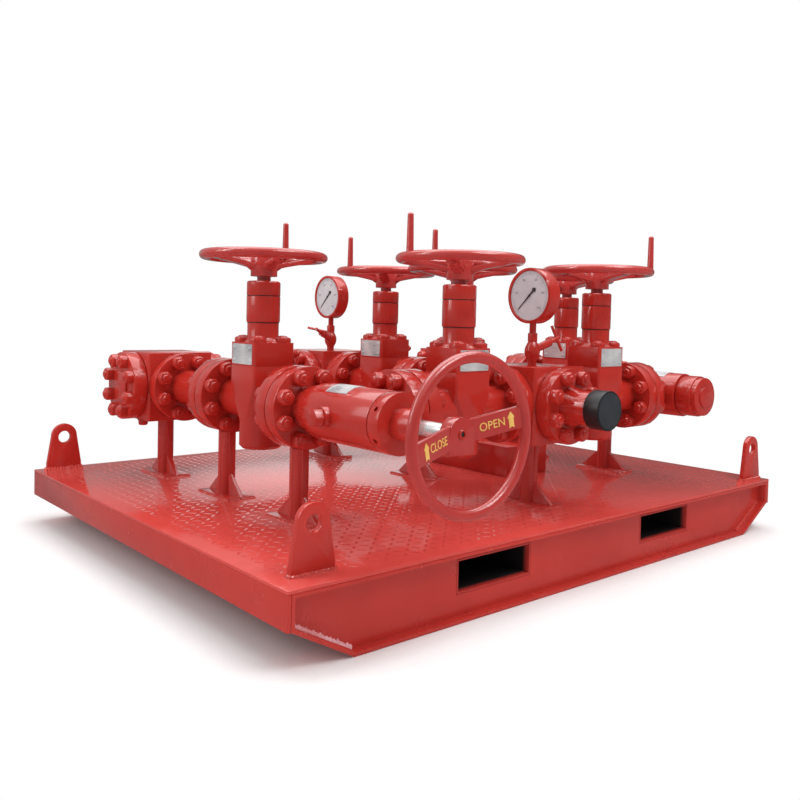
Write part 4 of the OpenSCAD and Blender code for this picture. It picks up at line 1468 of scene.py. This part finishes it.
@dataclass
class Studio:
    """Pale floor, white surround and soft lamps."""

    floor_size: float = 60.0
    floor_tone: float = 0.90
    floor_play: float = 0.01
    floor_speck: float = 60.0
    floor_mirrored: float = 0.22
    fade: float = 0.5
    ambient: float = 0.55
    left_way: RGB = (-0.747, 0.665, 0.0)
    left_edge: Pair = (0.1, 0.7)
    side_tones: Pair = (0.12, 0.40)
    window_way: RGB = (0.568, 0.791, 0.225)
    window_edge: Pair = (0.956, 0.9945)
    window_tone: float = 0.80
    roof_edge: Pair = (0.35, 0.9)
    roof_tone: float = 1.0
    lamps: tuple[Lamp, ...] = (
        Lamp("overhead_softbox", (0.2, 0.3, 3.6), (0, 0, 0.5), (4.6, 3.0), 100.0),
        Lamp("front_softbox", (0.3, -3.0, 3.8), (0, 0, 0.3), (2.0, 2.0), 50.0),
        Lamp("left_softbox", (-4.2, 1.2, 2.4), (0, 0, 0.4), (2.2, 2.2), 30.0),
        Lamp("left_strip", (-2.6, 0.6, 2.8), (0, 0, 0.5), (0.22, 3.0), 18.0),
        Lamp("front_strip", (0.3, -2.2, 3.0), (0, 0, 0.5), (3.0, 0.22), 18.0))

    def build(self) -> None:
        """Makes the surround, the floor and the lamps."""
        self._surround()
        self._floor()
        for lamp in self.lamps:
            lamp.build()

    @staticmethod
    def _glow(graph: Graph, way: Socket, towards: RGB, edge: Pair, tones: Pair) -> Socket:
        """Brightness that rises smoothly towards one direction.

        Args:
            graph: The world's graph.
            way: Direction that is looked at.
            towards: Direction of the brightest place.
            edge: Cosines of the angles where the rise starts and ends.
            tones: Brightness before and after the rise.

        Returns:
            The brightness socket.
        """
        return graph.spread(graph.vector("DOT_PRODUCT", way, towards), *tones, *edge, smooth=True)

    def _surround(self) -> None:
        """White for the camera, a softer room for reflections, and an even level of light on the part."""
        world = bpy.data.worlds.new("studio")
        bpy.context.scene.world = world
        world.use_nodes = True
        graph = Graph(world.node_tree)
        background = world.node_tree.nodes["Background"].inputs
        path = graph.add("LightPath").outputs
        way = graph.add("TexCoord").outputs["Generated"]
        side = self._glow(graph, way, self.left_way, self.left_edge, self.side_tones)
        window = self._glow(graph, way, self.window_way, self.window_edge, (0.0, self.window_tone))
        roof = self._glow(graph, way, Look.UP.value, self.roof_edge, (0.0, 1.0))
        mirrored = graph.between(roof, graph.math("ADD", side, window), self.roof_tone)
        soft = graph.between(path["Is Glossy Ray"], self.ambient, mirrored)
        background["Color"].default_value = (1, 1, 1, 1)
        graph.feed(graph.between(path["Is Camera Ray"], soft, 1.0), background["Strength"])

    def _floor(self) -> None:
        """A wide pale floor that turns into the white surround a little way from the part."""
        bm = bmesh.new()
        bmesh.ops.create_grid(bm, x_segments=1, y_segments=1, size=self.floor_size / 2)
        mesh = bpy.data.meshes.new("studio_floor")
        bm.to_mesh(mesh)
        bm.free()
        floor = bpy.data.objects.new("studio_floor", mesh)
        bpy.context.scene.collection.objects.link(floor)
        mesh.materials.append(self._floor_finish())

    def _floor_finish(self) -> bpy.types.Material:
        """Pale and shadowed under the part, white further out, and dim where the part mirrors it.

        Returns:
            The floor's material.
        """
        material, graph, shader = Finish("pale_floor").start()
        place = graph.place()
        speck = graph.noise(place, self.floor_speck, 3.0)
        tone = graph.spread(speck, self.floor_tone - self.floor_play, self.floor_tone + self.floor_play)
        grey = graph.add("CombineColor", {0: tone, 1: tone, 2: tone})
        graph.feed(grey.outputs[0], shader["Base Color"])
        shader["Roughness"].default_value = 0.9
        shader["Specular IOR Level"].default_value = 0.1
        low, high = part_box("deck_plate")
        folded = graph.vector("ABSOLUTE", graph.vector("SUBTRACT", place, (low + high) / 2))
        outside = graph.vector("MAXIMUM", graph.vector("SUBTRACT", folded, (high - low) / 2))
        far = graph.vector("LENGTH", graph.vector("MULTIPLY", outside, (1, 1, 0)))
        fade = graph.spread(far, 0.0, 1.0, 0.0, self.fade, smooth=True)
        path = graph.add("LightPath").outputs
        white, dim = (graph.add("Emission", {"Color": (1, 1, 1, 1), "Strength": level}).outputs[0]
                      for level in (1.0, self.floor_mirrored))
        nodes = material.node_tree.nodes
        seen = graph.math("MULTIPLY", fade, path["Is Camera Ray"])
        base = nodes["Principled BSDF"].outputs["BSDF"]
        lit = graph.add("MixShader", {0: seen, 1: base, 2: white}).outputs[0]
        mix = graph.add("MixShader", {0: path["Is Glossy Ray"], 1: lit, 2: dim}).outputs[0]
        graph.feed(mix, nodes["Material Output"].inputs["Surface"])
        return material


VALVES = (("left_valve", Look.LEFT, 37), ("right_valve", Look.LEFT, 125),
          ("bypass_front_valve", Look.LEFT, 194), ("bypass_rear_valve", Look.LEFT, 181),
          ("front_left_valve", Look.FRONT, 172), ("front_right_valve", Look.FRONT, 303))
GAUGES = (("front_gauge", "front_block"), ("rear_gauge", "rear_center_block"))


def main() -> None:
    """Builds the looks in order."""
    logging.basicConfig(level=logging.INFO, format="%(name)s %(message)s")
    bpy.context.scene.view_settings.view_transform = "Standard"
    finishes = Finishes()
    Castings(finishes).build()
    BoltedJoints(finishes).build()
    for name, plate_look, grip_deg in VALVES:
        Valve(name, plate_look, grip_deg, finishes).build()
    for name, block in GAUGES:
        Gauge(name, block, finishes).build()
    ChokeWheel(finishes).build()
    ChokeTrim(finishes).build()
    Skid(finishes).build()
    Studio().build()
    PhotoCamera().build()


if __name__ == "__main__":
    main()
